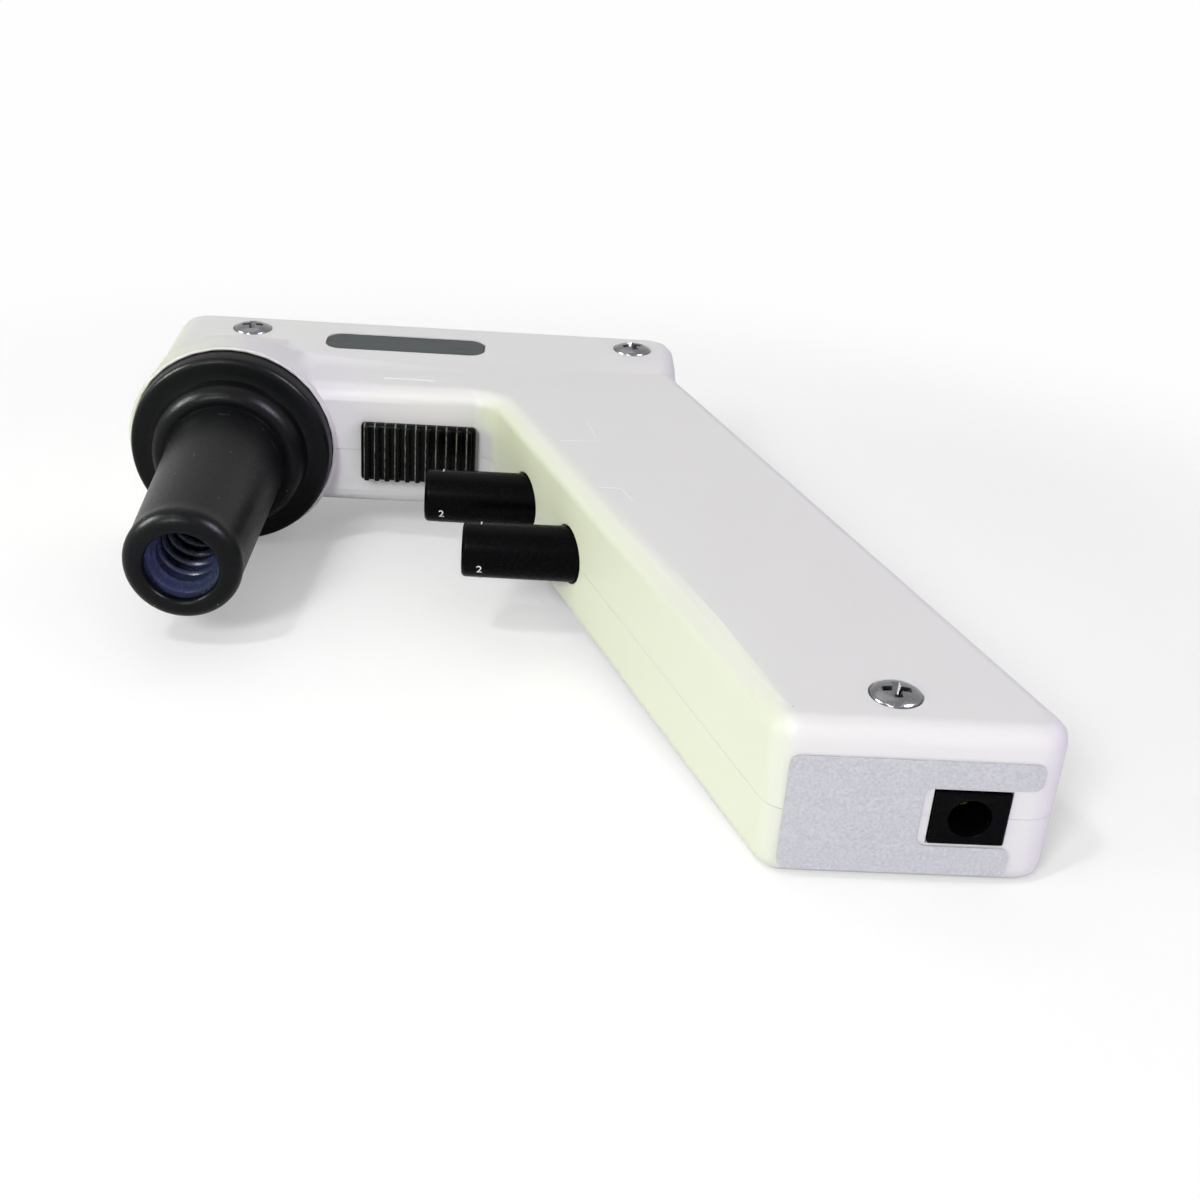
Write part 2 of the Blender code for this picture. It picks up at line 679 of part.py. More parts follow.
# Screw posts, their holes and the recesses for the heads
for name, (x, y) in SCREWS.items():
    top = screw_top(y)
    seat = top - SCREW_SINK
    add(upper, rod(name + "_upper_post", (x, y, SEAT_GAP / 2), (x, y, top - WALL + OVERLAP),
                   POST_RADIUS))
    add(lower, rod(name + "_lower_post", (x, y, FLOOR_Z - OVERLAP), (x, y, -SEAT_GAP / 2),
                   POST_RADIUS))
    cut(upper, rod(name + "_upper_hole", (x, y, -1.0 * MM), (x, y, top + 1.0 * MM),
                   SCREW_SHANK + RUNNING_GAP))
    cut(upper, rod(name + "_seat", (x, y, seat), (x, y, top + 2.0 * MM),
                   SCREW_HEAD_RADIUS + FIT_GAP, sides=32))
    cut(lower, rod(name + "_lower_hole", (x, y, seat - SCREW_LENGTH - 1.0 * MM), (x, y, 1.0 * MM),
                   SCREW_SHANK + FIT_GAP))

# Recess for the badge
badge_outline = rounded([(BADGE_X - BADGE_LENGTH / 2, BADGE_Y - BADGE_HEIGHT / 2, BADGE_CORNER),
                         (BADGE_X + BADGE_LENGTH / 2, BADGE_Y - BADGE_HEIGHT / 2, BADGE_CORNER),
                         (BADGE_X + BADGE_LENGTH / 2, BADGE_Y + BADGE_HEIGHT / 2, BADGE_CORNER),
                         (BADGE_X - BADGE_LENGTH / 2, BADGE_Y + BADGE_HEIGHT / 2, BADGE_CORNER)])
grow = 1.0 + 2.0 * FIT_GAP / BADGE_HEIGHT
recess_outline = [(BADGE_X + (x - BADGE_X) * (1.0 + 2.0 * FIT_GAP / BADGE_LENGTH),
                   BADGE_Y + (y - BADGE_Y) * grow) for x, y in badge_outline]
cut(upper, flat_outline("badge_recess", recess_outline, UPPER_HALF - BADGE_THICKNESS,
                        UPPER_HALF + 1.0 * MM))

# Battery cells, side by side along the handle
along = Vector((-math.sin(HANDLE_SLANT), math.cos(HANDLE_SLANT), 0.0))
beside = Vector((math.cos(HANDLE_SLANT), math.sin(HANDLE_SLANT), 0.0))
handle_root = Vector(((BASE_LEFT_X + BASE_RIGHT_X) / 2, 0.0, 0.0))
cell_start = handle_root + along * CELL_START
for label, side in (("a", -1.0), ("b", 1.0)):
    offset = beside * side * (CELL_RADIUS + SEAT_GAP / 2)
    start = cell_start + offset
    can = start + along * (CELL_LENGTH - CAP_HEIGHT)
    base = rod("cell_can", start, can, CELL_RADIUS, sides=28)
    bump = rod("cell_bump", can - along * OVERLAP, can + along * CAP_HEIGHT, CAP_RADIUS, sides=16)
    joined("battery_cell_" + label, base, [bump], CELL_GREEN)
turn_handle = Matrix.Translation(cell_start) @ Matrix.Rotation(HANDLE_SLANT, 4, 'Z')


def in_handle(name, x, y, z, look=None):
    """A box given in the handle's own directions, from the start of the cells."""
    return block(name, x, y, z, look, turn=turn_handle)


strap_width = 2.0 * CELL_RADIUS + 4.0 * MM
in_handle("cell_link_strap", (-strap_width / 2, strap_width / 2), (-SEAT_GAP - 0.4 * MM, -SEAT_GAP),
          (-2.5 * MM, 2.5 * MM), STEEL)

# Cradles for the cells
for index, station in enumerate((0.18, 0.82)):
    middle = CELL_LENGTH * station
    half_width = 2.0 * CELL_RADIUS + 1.2 * MM
    cradle = in_handle("cell_cradle_%d" % index, (-half_width, half_width),
                       (middle - 1.0 * MM, middle + 1.0 * MM),
                       (FLOOR_Z - OVERLAP, CELL_Z - CELL_RADIUS * 0.35))
    for side in (-1.0, 1.0):
        offset = beside * side * (CELL_RADIUS + SEAT_GAP / 2)
        cut(cradle, rod("cell_bed_%d%+d" % (index, side), cell_start + offset - along * 2.0 * MM,
                        cell_start + offset + along * (CELL_LENGTH + 2.0 * MM),
                        CELL_RADIUS + SEAT_GAP, sides=28))
    add(lower, cradle)

# Charging board over the cells
board_z = CELL_Z + CELL_RADIUS + SEAT_GAP
board = in_handle("board", (-BOARD_WIDTH / 2, BOARD_WIDTH / 2), (0.0, BOARD_LENGTH),
                  (board_z, board_z + BOARD_THICKNESS))
board_top = board_z + BOARD_THICKNESS
wide = BOARD_WIDTH
deep = BOARD_LENGTH
stack = BOARD_THICKNESS
chip = in_handle("chip", (-0.17 * wide, 0.17 * wide), (0.24 * deep, 0.41 * deep),
                 (board_top - 0.25 * stack, board_top + 1.3 * stack))
plug = in_handle("plug", (0.21 * wide, 0.42 * wide), (0.06 * deep, 0.24 * deep),
                 (board_top - 0.25 * stack, board_top + 1.6 * stack))
coil = in_handle("coil", (-0.42 * wide, -0.23 * wide), (0.59 * deep, 0.74 * deep),
                 (board_top - 0.25 * stack, board_top + 1.5 * stack))
joined("charging_board", board, [chip, plug, coil], BOARD_GREEN)

# DC jack in the base wall
jack = block("jack_block", (-JACK_WIDTH / 2, JACK_WIDTH / 2), (-JACK_PROUD, JACK_DEPTH - JACK_PROUD),
             (-JACK_HEIGHT / 2, JACK_HEIGHT / 2), GLOSS_BLACK)
jack.name = "dc_jack"
cut(jack, rod("jack_bore", (0.0, -3.0 * MM, 0.0), (0.0, JACK_BORE_DEPTH, 0.0), JACK_BORE, sides=32))
cut(jack, rod("jack_pin_hole", (0.0, 5.0 * MM, 0.0), (0.0, JACK_DEPTH + 2.0 * MM, 0.0),
              JACK_PIN + FIT_GAP, sides=16))
rod("jack_pin", (0.0, JACK_PIN_TIP, 0.0), (0.0, JACK_DEPTH + 1.2 * MM, 0.0), JACK_PIN, BRASS, sides=16)
add(lower, block("jack_rest", (-JACK_WIDTH / 2, JACK_WIDTH / 2), (WALL + 2.5 * MM, WALL + 4.5 * MM),
                 (FLOOR_Z - OVERLAP, -JACK_HEIGHT / 2 - SEAT_GAP)))

# Base label, cut round the jack
notch_left = -JACK_WIDTH / 2 - LABEL_MARGIN
notch_top = JACK_HEIGHT / 2 + 0.6 * MM
label_corners = [
    (LABEL_LEFT_X, LABEL_BOTTOM_Z, LABEL_CORNER),
    (LABEL_RIGHT_X - LABEL_LIP, LABEL_BOTTOM_Z, LABEL_CORNER),
    (LABEL_RIGHT_X - LABEL_LIP, -notch_top, LABEL_CORNER),
    (notch_left, -notch_top, LABEL_CORNER),
    (notch_left, notch_top, LABEL_CORNER),
    (LABEL_RIGHT_X, notch_top, LABEL_CORNER),
    (LABEL_RIGHT_X, LABEL_TOP_Z, LABEL_CORNER),
    (LABEL_LEFT_X, LABEL_TOP_Z, LABEL_CORNER)]
label = flat_outline("base_label", rounded(label_corners, 4), 0.0, LABEL_THICKNESS, FOIL)
label.data.transform(Matrix.Rotation(math.pi / 2, 4, 'X'))
label.data.transform(Matrix.Translation((0.0, -LABEL_GAP, 0.0)))

# Badge plate
flat_outline("badge_plate", badge_outline, UPPER_HALF - BADGE_THICKNESS + LABEL_GAP,
             UPPER_HALF - 0.1 * MM, BADGE_GREY)

# Screws with a cross recess
for name, (x, y) in SCREWS.items():
    seat = screw_top(y) - SCREW_SINK + LABEL_GAP
    dome = [(0.0, seat + SCREW_HEAD_HEIGHT)]
    dome += [(SCREW_HEAD_RADIUS * math.sin(a), seat + 0.7 * MM
              + (SCREW_HEAD_HEIGHT - 0.7 * MM) * math.cos(a))
             for a in (math.radians(d) for d in (30, 62, 90))]
    dome += [(SCREW_HEAD_RADIUS, seat), (SCREW_SHANK, seat),
             (SCREW_SHANK, seat - SCREW_LENGTH + 1.4 * MM), (0.0, seat - SCREW_LENGTH)]
    screw = turned(name, dome, 0.0, STEEL, steps=16)
    screw.data.transform(Matrix.Translation((x, y, 0.0)) @ Matrix.Rotation(math.pi / 2, 4, 'X'))
    deep = seat + SCREW_HEAD_HEIGHT - 1.3 * MM
    for turn in (30.0, 120.0):
        slot = block(name + "_slot_%d" % turn, (-2.1 * MM, 2.1 * MM),
                     (-SCREW_SLOT / 2, SCREW_SLOT / 2), (deep, deep + 4.0 * MM),
                     turn=Matrix.Translation((x, y, 0.0))
                     @ Matrix.Rotation(math.radians(turn), 4, 'Z'))
        cut(screw, slot)
    pivot(screw, (x, y, seat))

# Nose cone: mouth, tapered tube, beaded flange and the spigot that seats in the collar
flange_front = FLANGE_REAR_Y - FLANGE_RIM
bead_centre = (0.5 * (BEAD_RADIUS + TUBE_ROOT_RADIUS), flange_front + 0.2 * MM)
bead_size = 0.5 * (BEAD_RADIUS - TUBE_ROOT_RADIUS)
spigot_end = FLANGE_REAR_Y + NOSE_SPIGOT_LENGTH
bay_start = flange_front - 0.6 * MM
nose_profile = [(NOSE_MOUTH, NOSE_TIP_Y + 0.3 * MM)]
nose_profile += arc((TIP_RADIUS - TIP_ROUND, NOSE_TIP_Y + TIP_ROUND), TIP_ROUND,
                    math.radians(-100.0), math.radians(0.0), 4)
nose_profile += [(TUBE_ROOT_RADIUS - 0.15 * MM, bead_centre[1] - 5.5 * MM),
                 (TUBE_ROOT_RADIUS + 0.1 * MM, bead_centre[1] - 3.4 * MM)]
nose_profile += [(bead_centre[0] - bead_size * 0.9 * math.cos(a),
                  bead_centre[1] - 1.9 * bead_size * math.sin(a))
                 for a in (math.radians(d) for d in (45, 80, 115, 150, 180))]
nose_profile += [(BEAD_RADIUS + 1.2 * MM, flange_front - 0.1 * MM)]
nose_profile += arc((FLANGE_RADIUS - 0.35 * MM - FLANGE_ROUND, flange_front + FLANGE_ROUND),
                    FLANGE_ROUND, math.radians(-90.0), math.radians(0.0), 4)
nose_profile += [(FLANGE_RADIUS, flange_front + FLANGE_ROUND + 0.25 * MM),
                 (FLANGE_RADIUS, COLLAR_POCKET_Y - SEAT_GAP),
                 (NOSE_SPIGOT_RADIUS, COLLAR_POCKET_Y - SEAT_GAP),
                 (NOSE_SPIGOT_RADIUS, spigot_end),
                 (FILTER_BAY, spigot_end),
                 (FILTER_BAY, bay_start),
                 (NOSE_BORE, bay_start - 3.0 * MM),
                 (NOSE_BORE, NOSE_TIP_Y + MOUTH_DEPTH + 1.2 * MM),
                 (NOSE_MOUTH, NOSE_TIP_Y + MOUTH_DEPTH)]
nose = turned("nose_cone", nose_profile, NOSE_X, RUBBER, steps=32, closed=True)
pivot(nose, (NOSE_X, FLANGE_REAR_Y, 0.0))

# Silicone insert with the lips that grip a pipette
insert_front = NOSE_TIP_Y + MOUTH_DEPTH + 1.2 * MM + SEAT_GAP
filter_front = bay_start - SEAT_GAP
insert_back = filter_front - FILTER_STANDOFF
insert_profile = [(NOSE_BORE - FIT_GAP, insert_front), (NOSE_BORE - FIT_GAP, insert_back),
                  (NIPPLE_RADIUS + FIT_GAP, insert_back),
                  (NIPPLE_RADIUS + FIT_GAP, insert_back - NIPPLE_LENGTH),
                  (INSERT_BORE - 1.4 * MM, insert_back - NIPPLE_LENGTH - 2.0 * MM)]
for index in reversed(range(RIB_COUNT)):
    lip_y = insert_front + 2.6 * MM + index * RIB_PITCH
    lip = RIB_FIRST_BORE - index * RIB_STEP
    insert_profile += [(INSERT_BORE, lip_y + 1.5 * MM), (lip + 0.15 * MM, lip_y + 0.9 * MM),
                       (lip, lip_y + 0.5 * MM), (INSERT_BORE, lip_y)]
insert_profile += [(INSERT_BORE + 0.5 * MM, insert_front)]
insert = turned("pipette_insert", insert_profile, NOSE_X, SILICONE_BLUE, steps=20, closed=True)
pivot(insert, (NOSE_X, FLANGE_REAR_Y, 0.0))

# Membrane filter capsule between insert and socket
filter_back = filter_front + FILTER_THICKNESS
nipple_front = insert_back - NIPPLE_LENGTH + SEAT_GAP
nipple_back = filter_back + NIPPLE_LENGTH
capsule = turned("membrane_filter", [
    (AIR_BORE, nipple_front), (NIPPLE_RADIUS - 0.2 * MM, nipple_front),
    (NIPPLE_RADIUS, nipple_front + 1.0 * MM), (NIPPLE_RADIUS, filter_front),
    (FILTER_RADIUS - 1.0 * MM, filter_front), (FILTER_RADIUS, filter_front + 1.0 * MM),
    (FILTER_RADIUS, filter_back - 1.0 * MM), (FILTER_RADIUS - 1.0 * MM, filter_back),
    (NIPPLE_RADIUS, filter_back), (NIPPLE_RADIUS, nipple_back - 1.0 * MM),
    (NIPPLE_RADIUS - 0.2 * MM, nipple_back), (AIR_BORE, nipple_back)],
    NOSE_X, FILTER_WHITE, steps=16, closed=True)

# Socket fixed in the collar: a cup for the nose spigot and a barb for the hose
cup_bore = NOSE_SPIGOT_RADIUS + RUNNING_GAP
cup_floor = spigot_end + SEAT_GAP
seal_front = filter_back + SEAT_GAP
boss_front = seal_front + SEAL_THICKNESS + SEAT_GAP
socket_barb = cup_floor + SOCKET_BACK + BARB_LENGTH
turned("nose_socket", [
    (SOCKET_RADIUS, COLLAR_POCKET_Y + SEAT_GAP), (SOCKET_RADIUS, cup_floor + SOCKET_BACK),
    (BARB_RADIUS, cup_floor + SOCKET_BACK), (BARB_RADIUS, socket_barb),
    (0.5 * BARB_RADIUS, socket_barb), (0.5 * BARB_RADIUS, nipple_back + SEAT_GAP),
    (NIPPLE_RADIUS + FIT_GAP, nipple_back + SEAT_GAP), (NIPPLE_RADIUS + FIT_GAP, boss_front),
    (NIPPLE_RADIUS + 2.4 * MM, boss_front), (NIPPLE_RADIUS + 2.4 * MM, cup_floor),
    (cup_bore, cup_floor), (cup_bore, COLLAR_POCKET_Y + SEAT_GAP)],
    NOSE_X, ACETAL, steps=24, closed=True)
turned("socket_seal", [
    (NIPPLE_RADIUS + FIT_GAP, seal_front), (NIPPLE_RADIUS + 2.4 * MM, seal_front),
    (NIPPLE_RADIUS + 2.4 * MM, seal_front + SEAL_THICKNESS),
    (NIPPLE_RADIUS + FIT_GAP, seal_front + SEAL_THICKNESS)],
    NOSE_X, SILICONE_CLEAR, steps=16, closed=True)

# Triggers with their stems, springs, valves, seals, switches and levers
BARB_PLACES = {"fill": FILL_BARB_PLACE, "dispense": DISPENSE_BARB_PLACE}
for label, y in TRIGGERS.items():
    places = trigger_places(y)
    tip = places["tip"]
    collar_x = places["collar"]
    collar_back = places["collar_back"]
    valve_x = places["valve"]
    # Cap: rounded end, slight draft, retaining collar inside the wall, socket for the stem
    socket_end = collar_back - STEM_SOCKET
    cap_profile = [(0.0, tip)]
    cap_profile += arc((TRIGGER_RADIUS - TRIGGER_DRAFT - TRIGGER_ROUND, tip + TRIGGER_ROUND),
                       TRIGGER_ROUND, math.radians(-90.0), 0.0, 3)
    cap_profile += [(TRIGGER_RADIUS, collar_x), (TRIGGER_RADIUS + TRIGGER_COLLAR, collar_x),
                    (TRIGGER_RADIUS + TRIGGER_COLLAR, collar_back),
                    (STEM_RADIUS + FIT_GAP, collar_back), (STEM_RADIUS + FIT_GAP, socket_end),
                    (0.0, socket_end)]
    cap = turned(label + "_trigger", cap_profile, y, GLOSS_BLACK, steps=24, axis='X')
    pivot(cap, (collar_x, y, 0.0))
    # Stem with a seal land near its inner end
    stem_end = valve_x + VALVE_LENGTH - 3.0 * MM - TRIGGER_TRAVEL
    seal_x = valve_x + 2.4 * MM
    stem = turned(label + "_valve_stem", [
        (0.0, socket_end + SEAT_GAP), (STEM_RADIUS, socket_end + SEAT_GAP),
        (STEM_RADIUS, seal_x - SEAL_WIRE - FIT_GAP),
        (STEM_RADIUS - SEAL_WIRE, seal_x - SEAL_WIRE - FIT_GAP),
        (STEM_RADIUS - SEAL_WIRE, seal_x + SEAL_WIRE + FIT_GAP),
        (STEM_RADIUS, seal_x + SEAL_WIRE + FIT_GAP),
        (STEM_RADIUS, stem_end - 1.2 * MM), (0.3 * MM, stem_end), (0.0, stem_end)],
        y, STEEL, steps=12, axis='X')
    pivot(stem, (collar_x, y, 0.0))
    seal_ring = STEM_RADIUS + 0.25 * MM
    seal = turned(label + "_valve_seal",
                  [(seal_ring + SEAL_WIRE * math.cos(a), seal_x + SEAL_WIRE * math.sin(a))
                   for a in (math.radians(d) for d in range(0, 360, 60))],
                  y, RUBBER, steps=12, closed=True, axis='X')
    pivot(seal, (seal_x, y, 0.0))
    # Valve body: stepped bore from the front, one barb behind and one on the head side
    valve_back = places["valve_back"]
    body = block(label + "_body", (valve_x, valve_back),
                 (y - VALVE_WIDTH / 2, y + VALVE_WIDTH / 2), (-VALVE_HEIGHT / 2, VALVE_HEIGHT / 2))
    rear_barb = rod(label + "_rear_barb", (valve_back - OVERLAP, y, 0.0),
                    (valve_back + BARB_LENGTH, y, 0.0), BARB_RADIUS, sides=12)
    side_x = valve_x + BARB_PLACES[label] * VALVE_LENGTH
    side_barb = rod(label + "_side_barb", (side_x, y + VALVE_WIDTH / 2 - OVERLAP, 0.0),
                    (side_x, y + VALVE_WIDTH / 2 + BARB_LENGTH, 0.0), BARB_RADIUS, sides=12)
    valve = joined(label + "_valve_body", body, [rear_barb, side_barb], ACETAL)
    bore = seal_ring + SEAL_WIRE + FIT_GAP
    cut(valve, rod(label + "_bore", (valve_x - 1.0 * MM, y, 0.0),
                   (valve_back - 2.5 * MM, y, 0.0), bore, sides=24))
    cut(valve, rod(label + "_rear_port", (valve_back - 3.5 * MM, y, 0.0),
                   (valve_back + BARB_LENGTH + 1.0 * MM, y, 0.0), 0.5 * BARB_RADIUS, sides=8))
    cut(valve, rod(label + "_side_port", (side_x, y, 0.0),
                   (side_x, y + VALVE_WIDTH / 2 + BARB_LENGTH + 1.0 * MM, 0.0),
                   0.5 * BARB_RADIUS, sides=8))
    add(lower, block(label + "_valve_rest", (valve_x + 2.0 * MM, valve_back - 2.0 * MM),
                     (y - 4.0 * MM, y + 4.0 * MM),
                     (FLOOR_Z - OVERLAP, -VALVE_HEIGHT / 2 - SEAT_GAP)))
    add(upper, block(label + "_valve_clamp", (valve_x + 4.0 * MM, valve_x + 6.0 * MM),
                     (y - 4.0 * MM, y + 4.0 * MM),
                     (VALVE_HEIGHT / 2 + SEAT_GAP, upper_level(y) - WALL + OVERLAP)))
    # Return spring between collar and valve
    coil_start = collar_back + SPRING_WIRE + SEAT_GAP
    coil_end = valve_x - SPRING_WIRE - SEAT_GAP
    count = int(SPRING_TURNS * 8)
    spring_points = []
    for index in range(count + 1):
        turn = 2.0 * math.pi * SPRING_TURNS * index / count
        spring_points.append((coil_start + (coil_end - coil_start) * index / count,
                              y + SPRING_RADIUS * math.cos(turn), SPRING_RADIUS * math.sin(turn)))
    spring = hose(label + "_spring", spring_points, SPRING_WIRE, STEEL, samples=1)
    pivot(spring, (valve_x, y, 0.0))
    # Lever behind the collar's rim, and the switch that it works
    lever_x = places["lever"]
    hinge_y = places["hinge_y"]
    blade = block(label + "_blade", (lever_x, lever_x + LEVER_THICKNESS),
                  (hinge_y - LEVER_LENGTH + 0.3 * MM, hinge_y),
                  (-LEVER_WIDTH / 2, LEVER_WIDTH / 2))
    knuckle = rod(label + "_knuckle", (lever_x + LEVER_THICKNESS / 2, hinge_y, -LEVER_WIDTH / 2),
                  (lever_x + LEVER_THICKNESS / 2, hinge_y, LEVER_WIDTH / 2), 0.7 * MM, sides=16)
    lever = joined(label + "_switch_lever", blade, [knuckle], STEEL)
    pivot(lever, (lever_x + LEVER_THICKNESS / 2, hinge_y, 0.0))
    switch_x = lever_x + LEVER_THICKNESS / 2 + 0.7 * MM + SEAT_GAP
    body_x = switch_x + 2.2 * MM
    body_y = hinge_y - SWITCH_LENGTH + 1.2 * MM
    switch_body = block(label + "_switch_case", (body_x, body_x + SWITCH_DEPTH),
                        (body_y, body_y + SWITCH_LENGTH),
                        (-SWITCH_HEIGHT / 2, SWITCH_HEIGHT / 2))
    lug = block(label + "_lug", (switch_x, body_x + OVERLAP),
                (hinge_y - 1.0 * MM, hinge_y + 1.2 * MM), (-LEVER_WIDTH / 2, LEVER_WIDTH / 2))
    joined(label + "_switch", switch_body, [lug], BLACK_NYLON)
    add(lower, block(label + "_switch_rest", (body_x + 1.0 * MM, body_x + SWITCH_DEPTH - 1.0 * MM),
                     (body_y + 1.0 * MM, body_y + SWITCH_LENGTH - 1.0 * MM),
                     (FLOOR_Z - OVERLAP, -SWITCH_HEIGHT / 2 - SEAT_GAP)))

# Mode slide: ribbed cap, neck through the slot, carriage and switch behind the wall
cap_front = HEAD_FRONT_Y - SLIDE_PROUD
cap_box = block("slide_cap", (SLIDE_X - SLIDE_LENGTH / 2, SLIDE_X + SLIDE_LENGTH / 2),
                (cap_front, HEAD_FRONT_Y - SEAT_GAP),
                (SLIDE_Z - SLIDE_HEIGHT / 2, SLIDE_Z + SLIDE_HEIGHT / 2))
soft = cap_box.modifiers.new("corner round", 'BEVEL')
soft.width = 1.1 * MM
soft.segments = 2
soft.limit_method = 'ANGLE'
neck = block("slide_neck", (SLIDE_X - SLIDE_NECK_LENGTH / 2, SLIDE_X + SLIDE_NECK_LENGTH / 2),
             (HEAD_FRONT_Y - 1.0 * MM, HEAD_FRONT_Y + WALL + SEAT_GAP),
             (SLIDE_Z - SLIDE_NECK_HEIGHT / 2, SLIDE_Z + SLIDE_NECK_HEIGHT / 2))
slide = joined("mode_slide", cap_box, [neck], BLACK_NYLON)
rib_pitch = SLIDE_LENGTH / (SLIDE_RIBS + 0.5)
for index in range(SLIDE_RIBS):
    groove_x = SLIDE_X + (index - (SLIDE_RIBS - 1) / 2) * rib_pitch
    cut(slide, block("slide_groove_%02d" % index, (groove_x - 0.24 * rib_pitch,
                                                   groove_x + 0.24 * rib_pitch),
                     (cap_front - 1.0 * MM, cap_front + SLIDE_RIB_DEPTH),
                     (SLIDE_Z - SLIDE_HEIGHT, SLIDE_Z + SLIDE_HEIGHT)))
pivot(slide, (SLIDE_X, HEAD_FRONT_Y, SLIDE_Z))
carriage_front = HEAD_FRONT_Y + WALL + 2.0 * SEAT_GAP
carriage_back = carriage_front + CARRIAGE_THICKNESS
plate = block("carriage_plate", (SLIDE_X - 7.0 * MM, SLIDE_X + 7.0 * MM),
              (carriage_front, carriage_back), (SLIDE_Z - 4.0 * MM, SLIDE_Z + 4.0 * MM))
finger = block("carriage_finger", (SLIDE_X - 1.0 * MM, SLIDE_X + 1.0 * MM),
               (carriage_back - OVERLAP, carriage_back + 2.0 * MM),
               (SLIDE_Z - 1.0 * MM, SLIDE_Z + 1.0 * MM))
carriage = joined("mode_carriage", plate, [finger], ACETAL)
pivot(carriage, (SLIDE_X, HEAD_FRONT_Y, SLIDE_Z))
switch_y = carriage_back + SEAT_GAP
mode_switch = block("mode_switch", (SLIDE_X - 8.5 * MM, SLIDE_X + 6.5 * MM),
                    (switch_y, switch_y + 4.0 * MM), (SLIDE_Z - 2.8 * MM, SLIDE_Z + 2.8 * MM),
                    BLACK_NYLON)
cut(mode_switch, block("mode_switch_slot", (SLIDE_X - 1.5 * MM - SLIDE_TRAVEL, SLIDE_X + 1.5 * MM),
                       (switch_y - 1.0 * MM, switch_y + 2.4 * MM),
                       (SLIDE_Z - 1.3 * MM, SLIDE_Z + 1.3 * MM)))
add(lower, block("mode_switch_rest", (SLIDE_X - 6.0 * MM, SLIDE_X + 4.0 * MM),
                 (switch_y + 0.6 * MM, switch_y + 3.4 * MM),
                 (FLOOR_Z - OVERLAP, SLIDE_Z - 2.8 * MM - SEAT_GAP)))

# Motor with two flats, its shaft and the crank on it
can = rod("motor_can", (MOTOR_X - MOTOR_LENGTH / 2, MOTOR_Y, 0.0),
          (MOTOR_END_X, MOTOR_Y, 0.0), MOTOR_RADIUS, MOTOR_STEEL, sides=36)
can.name = "motor"
cut(can, block("motor_flats", (MOTOR_X - MOTOR_LENGTH, MOTOR_X + MOTOR_LENGTH),
               (MOTOR_Y - 2.0 * MOTOR_RADIUS, MOTOR_Y + 2.0 * MOTOR_RADIUS),
               (-MOTOR_FLAT / 2, MOTOR_FLAT / 2)), 'INTERSECT')
cut(can, rod("motor_bearing", (MOTOR_X, MOTOR_Y, 0.0), (MOTOR_END_X + 1.0 * MM, MOTOR_Y, 0.0),
             SHAFT_RADIUS + FIT_GAP, sides=16))
shaft = rod("motor_shaft", (MOTOR_X + SEAT_GAP, MOTOR_Y, 0.0),
            (MOTOR_END_X + SHAFT_REACH, MOTOR_Y, 0.0), SHAFT_RADIUS, STEEL, sides=16)
pivot(shaft, (MOTOR_X, MOTOR_Y, 0.0))
crank_x = PUMP_START_X + PUMP_WALL + 1.5 * MM
crank = rod("pump_crank", (crank_x, MOTOR_Y + CRANK_OFFSET, 0.0),
            (crank_x + ROD_THICKNESS + 1.0 * MM, MOTOR_Y + CRANK_OFFSET, 0.0), CRANK_RADIUS,
            BRASS, sides=24)
cut(crank, rod("crank_bore", (crank_x - 1.0 * MM, MOTOR_Y, 0.0),
               (crank_x + ROD_THICKNESS + 3.0 * MM, MOTOR_Y, 0.0), SHAFT_RADIUS + 0.1 * MM,
               sides=16))
pivot(crank, (MOTOR_X, MOTOR_Y, 0.0))
for index, x in enumerate((MOTOR_X - 0.3 * MOTOR_LENGTH, MOTOR_X + 0.3 * MOTOR_LENGTH)):
    add(lower, block("motor_rest_%d" % index, (x - 1.0 * MM, x + 1.0 * MM),
                     (MOTOR_Y - 6.0 * MM, MOTOR_Y + 6.0 * MM),
                     (FLOOR_Z - OVERLAP, -MOTOR_FLAT / 2 - SEAT_GAP)))

# Pump: hollow body open at the front, rod, diaphragm and head with two hose barbs
pump_front = MOTOR_Y - PUMP_REACH
pump_back = MOTOR_Y + PUMP_REACH - 1.0 * MM
pump = block("pump_case", (PUMP_START_X, PUMP_END_X), (pump_front, pump_back),
             (-PUMP_HEIGHT / 2, PUMP_HEIGHT / 2), BLACK_NYLON)
pump.name = "pump_body"
cut(pump, block("pump_room", (PUMP_START_X + PUMP_WALL, PUMP_END_X - PUMP_WALL),
                (pump_front - 1.0 * MM, pump_back - PUMP_WALL),
                (-PUMP_HEIGHT / 2 + PUMP_WALL, PUMP_HEIGHT / 2 - PUMP_WALL)))
cut(pump, rod("pump_bearing", (PUMP_START_X - 1.0 * MM, MOTOR_Y, 0.0),
              (PUMP_START_X + 2.0 * PUMP_WALL, MOTOR_Y, 0.0), SHAFT_RADIUS + RUNNING_GAP,
              sides=16))
rod_x = crank_x + 0.5 * MM
eye = CRANK_RADIUS + 2.0 * CRANK_OFFSET + FIT_GAP
eye_ring = rod("rod_eye", (rod_x, MOTOR_Y, 0.0), (rod_x + ROD_THICKNESS, MOTOR_Y, 0.0),
               eye + 1.3 * MM, sides=28)
rod_end = pump_front + SEAT_GAP
arm = block("rod_arm", (rod_x, rod_x + ROD_THICKNESS), (rod_end, MOTOR_Y - eye),
            (-1.3 * MM, 1.3 * MM))
link_rod = joined("connecting_rod", eye_ring, [arm], ACETAL)
cut(link_rod, rod("rod_bore", (rod_x - 1.0 * MM, MOTOR_Y, 0.0),
                  (rod_x + ROD_THICKNESS + 1.0 * MM, MOTOR_Y, 0.0), eye, sides=28))
sheet_back = pump_front - SEAT_GAP
sheet_front = sheet_back - DIAPHRAGM_THICKNESS
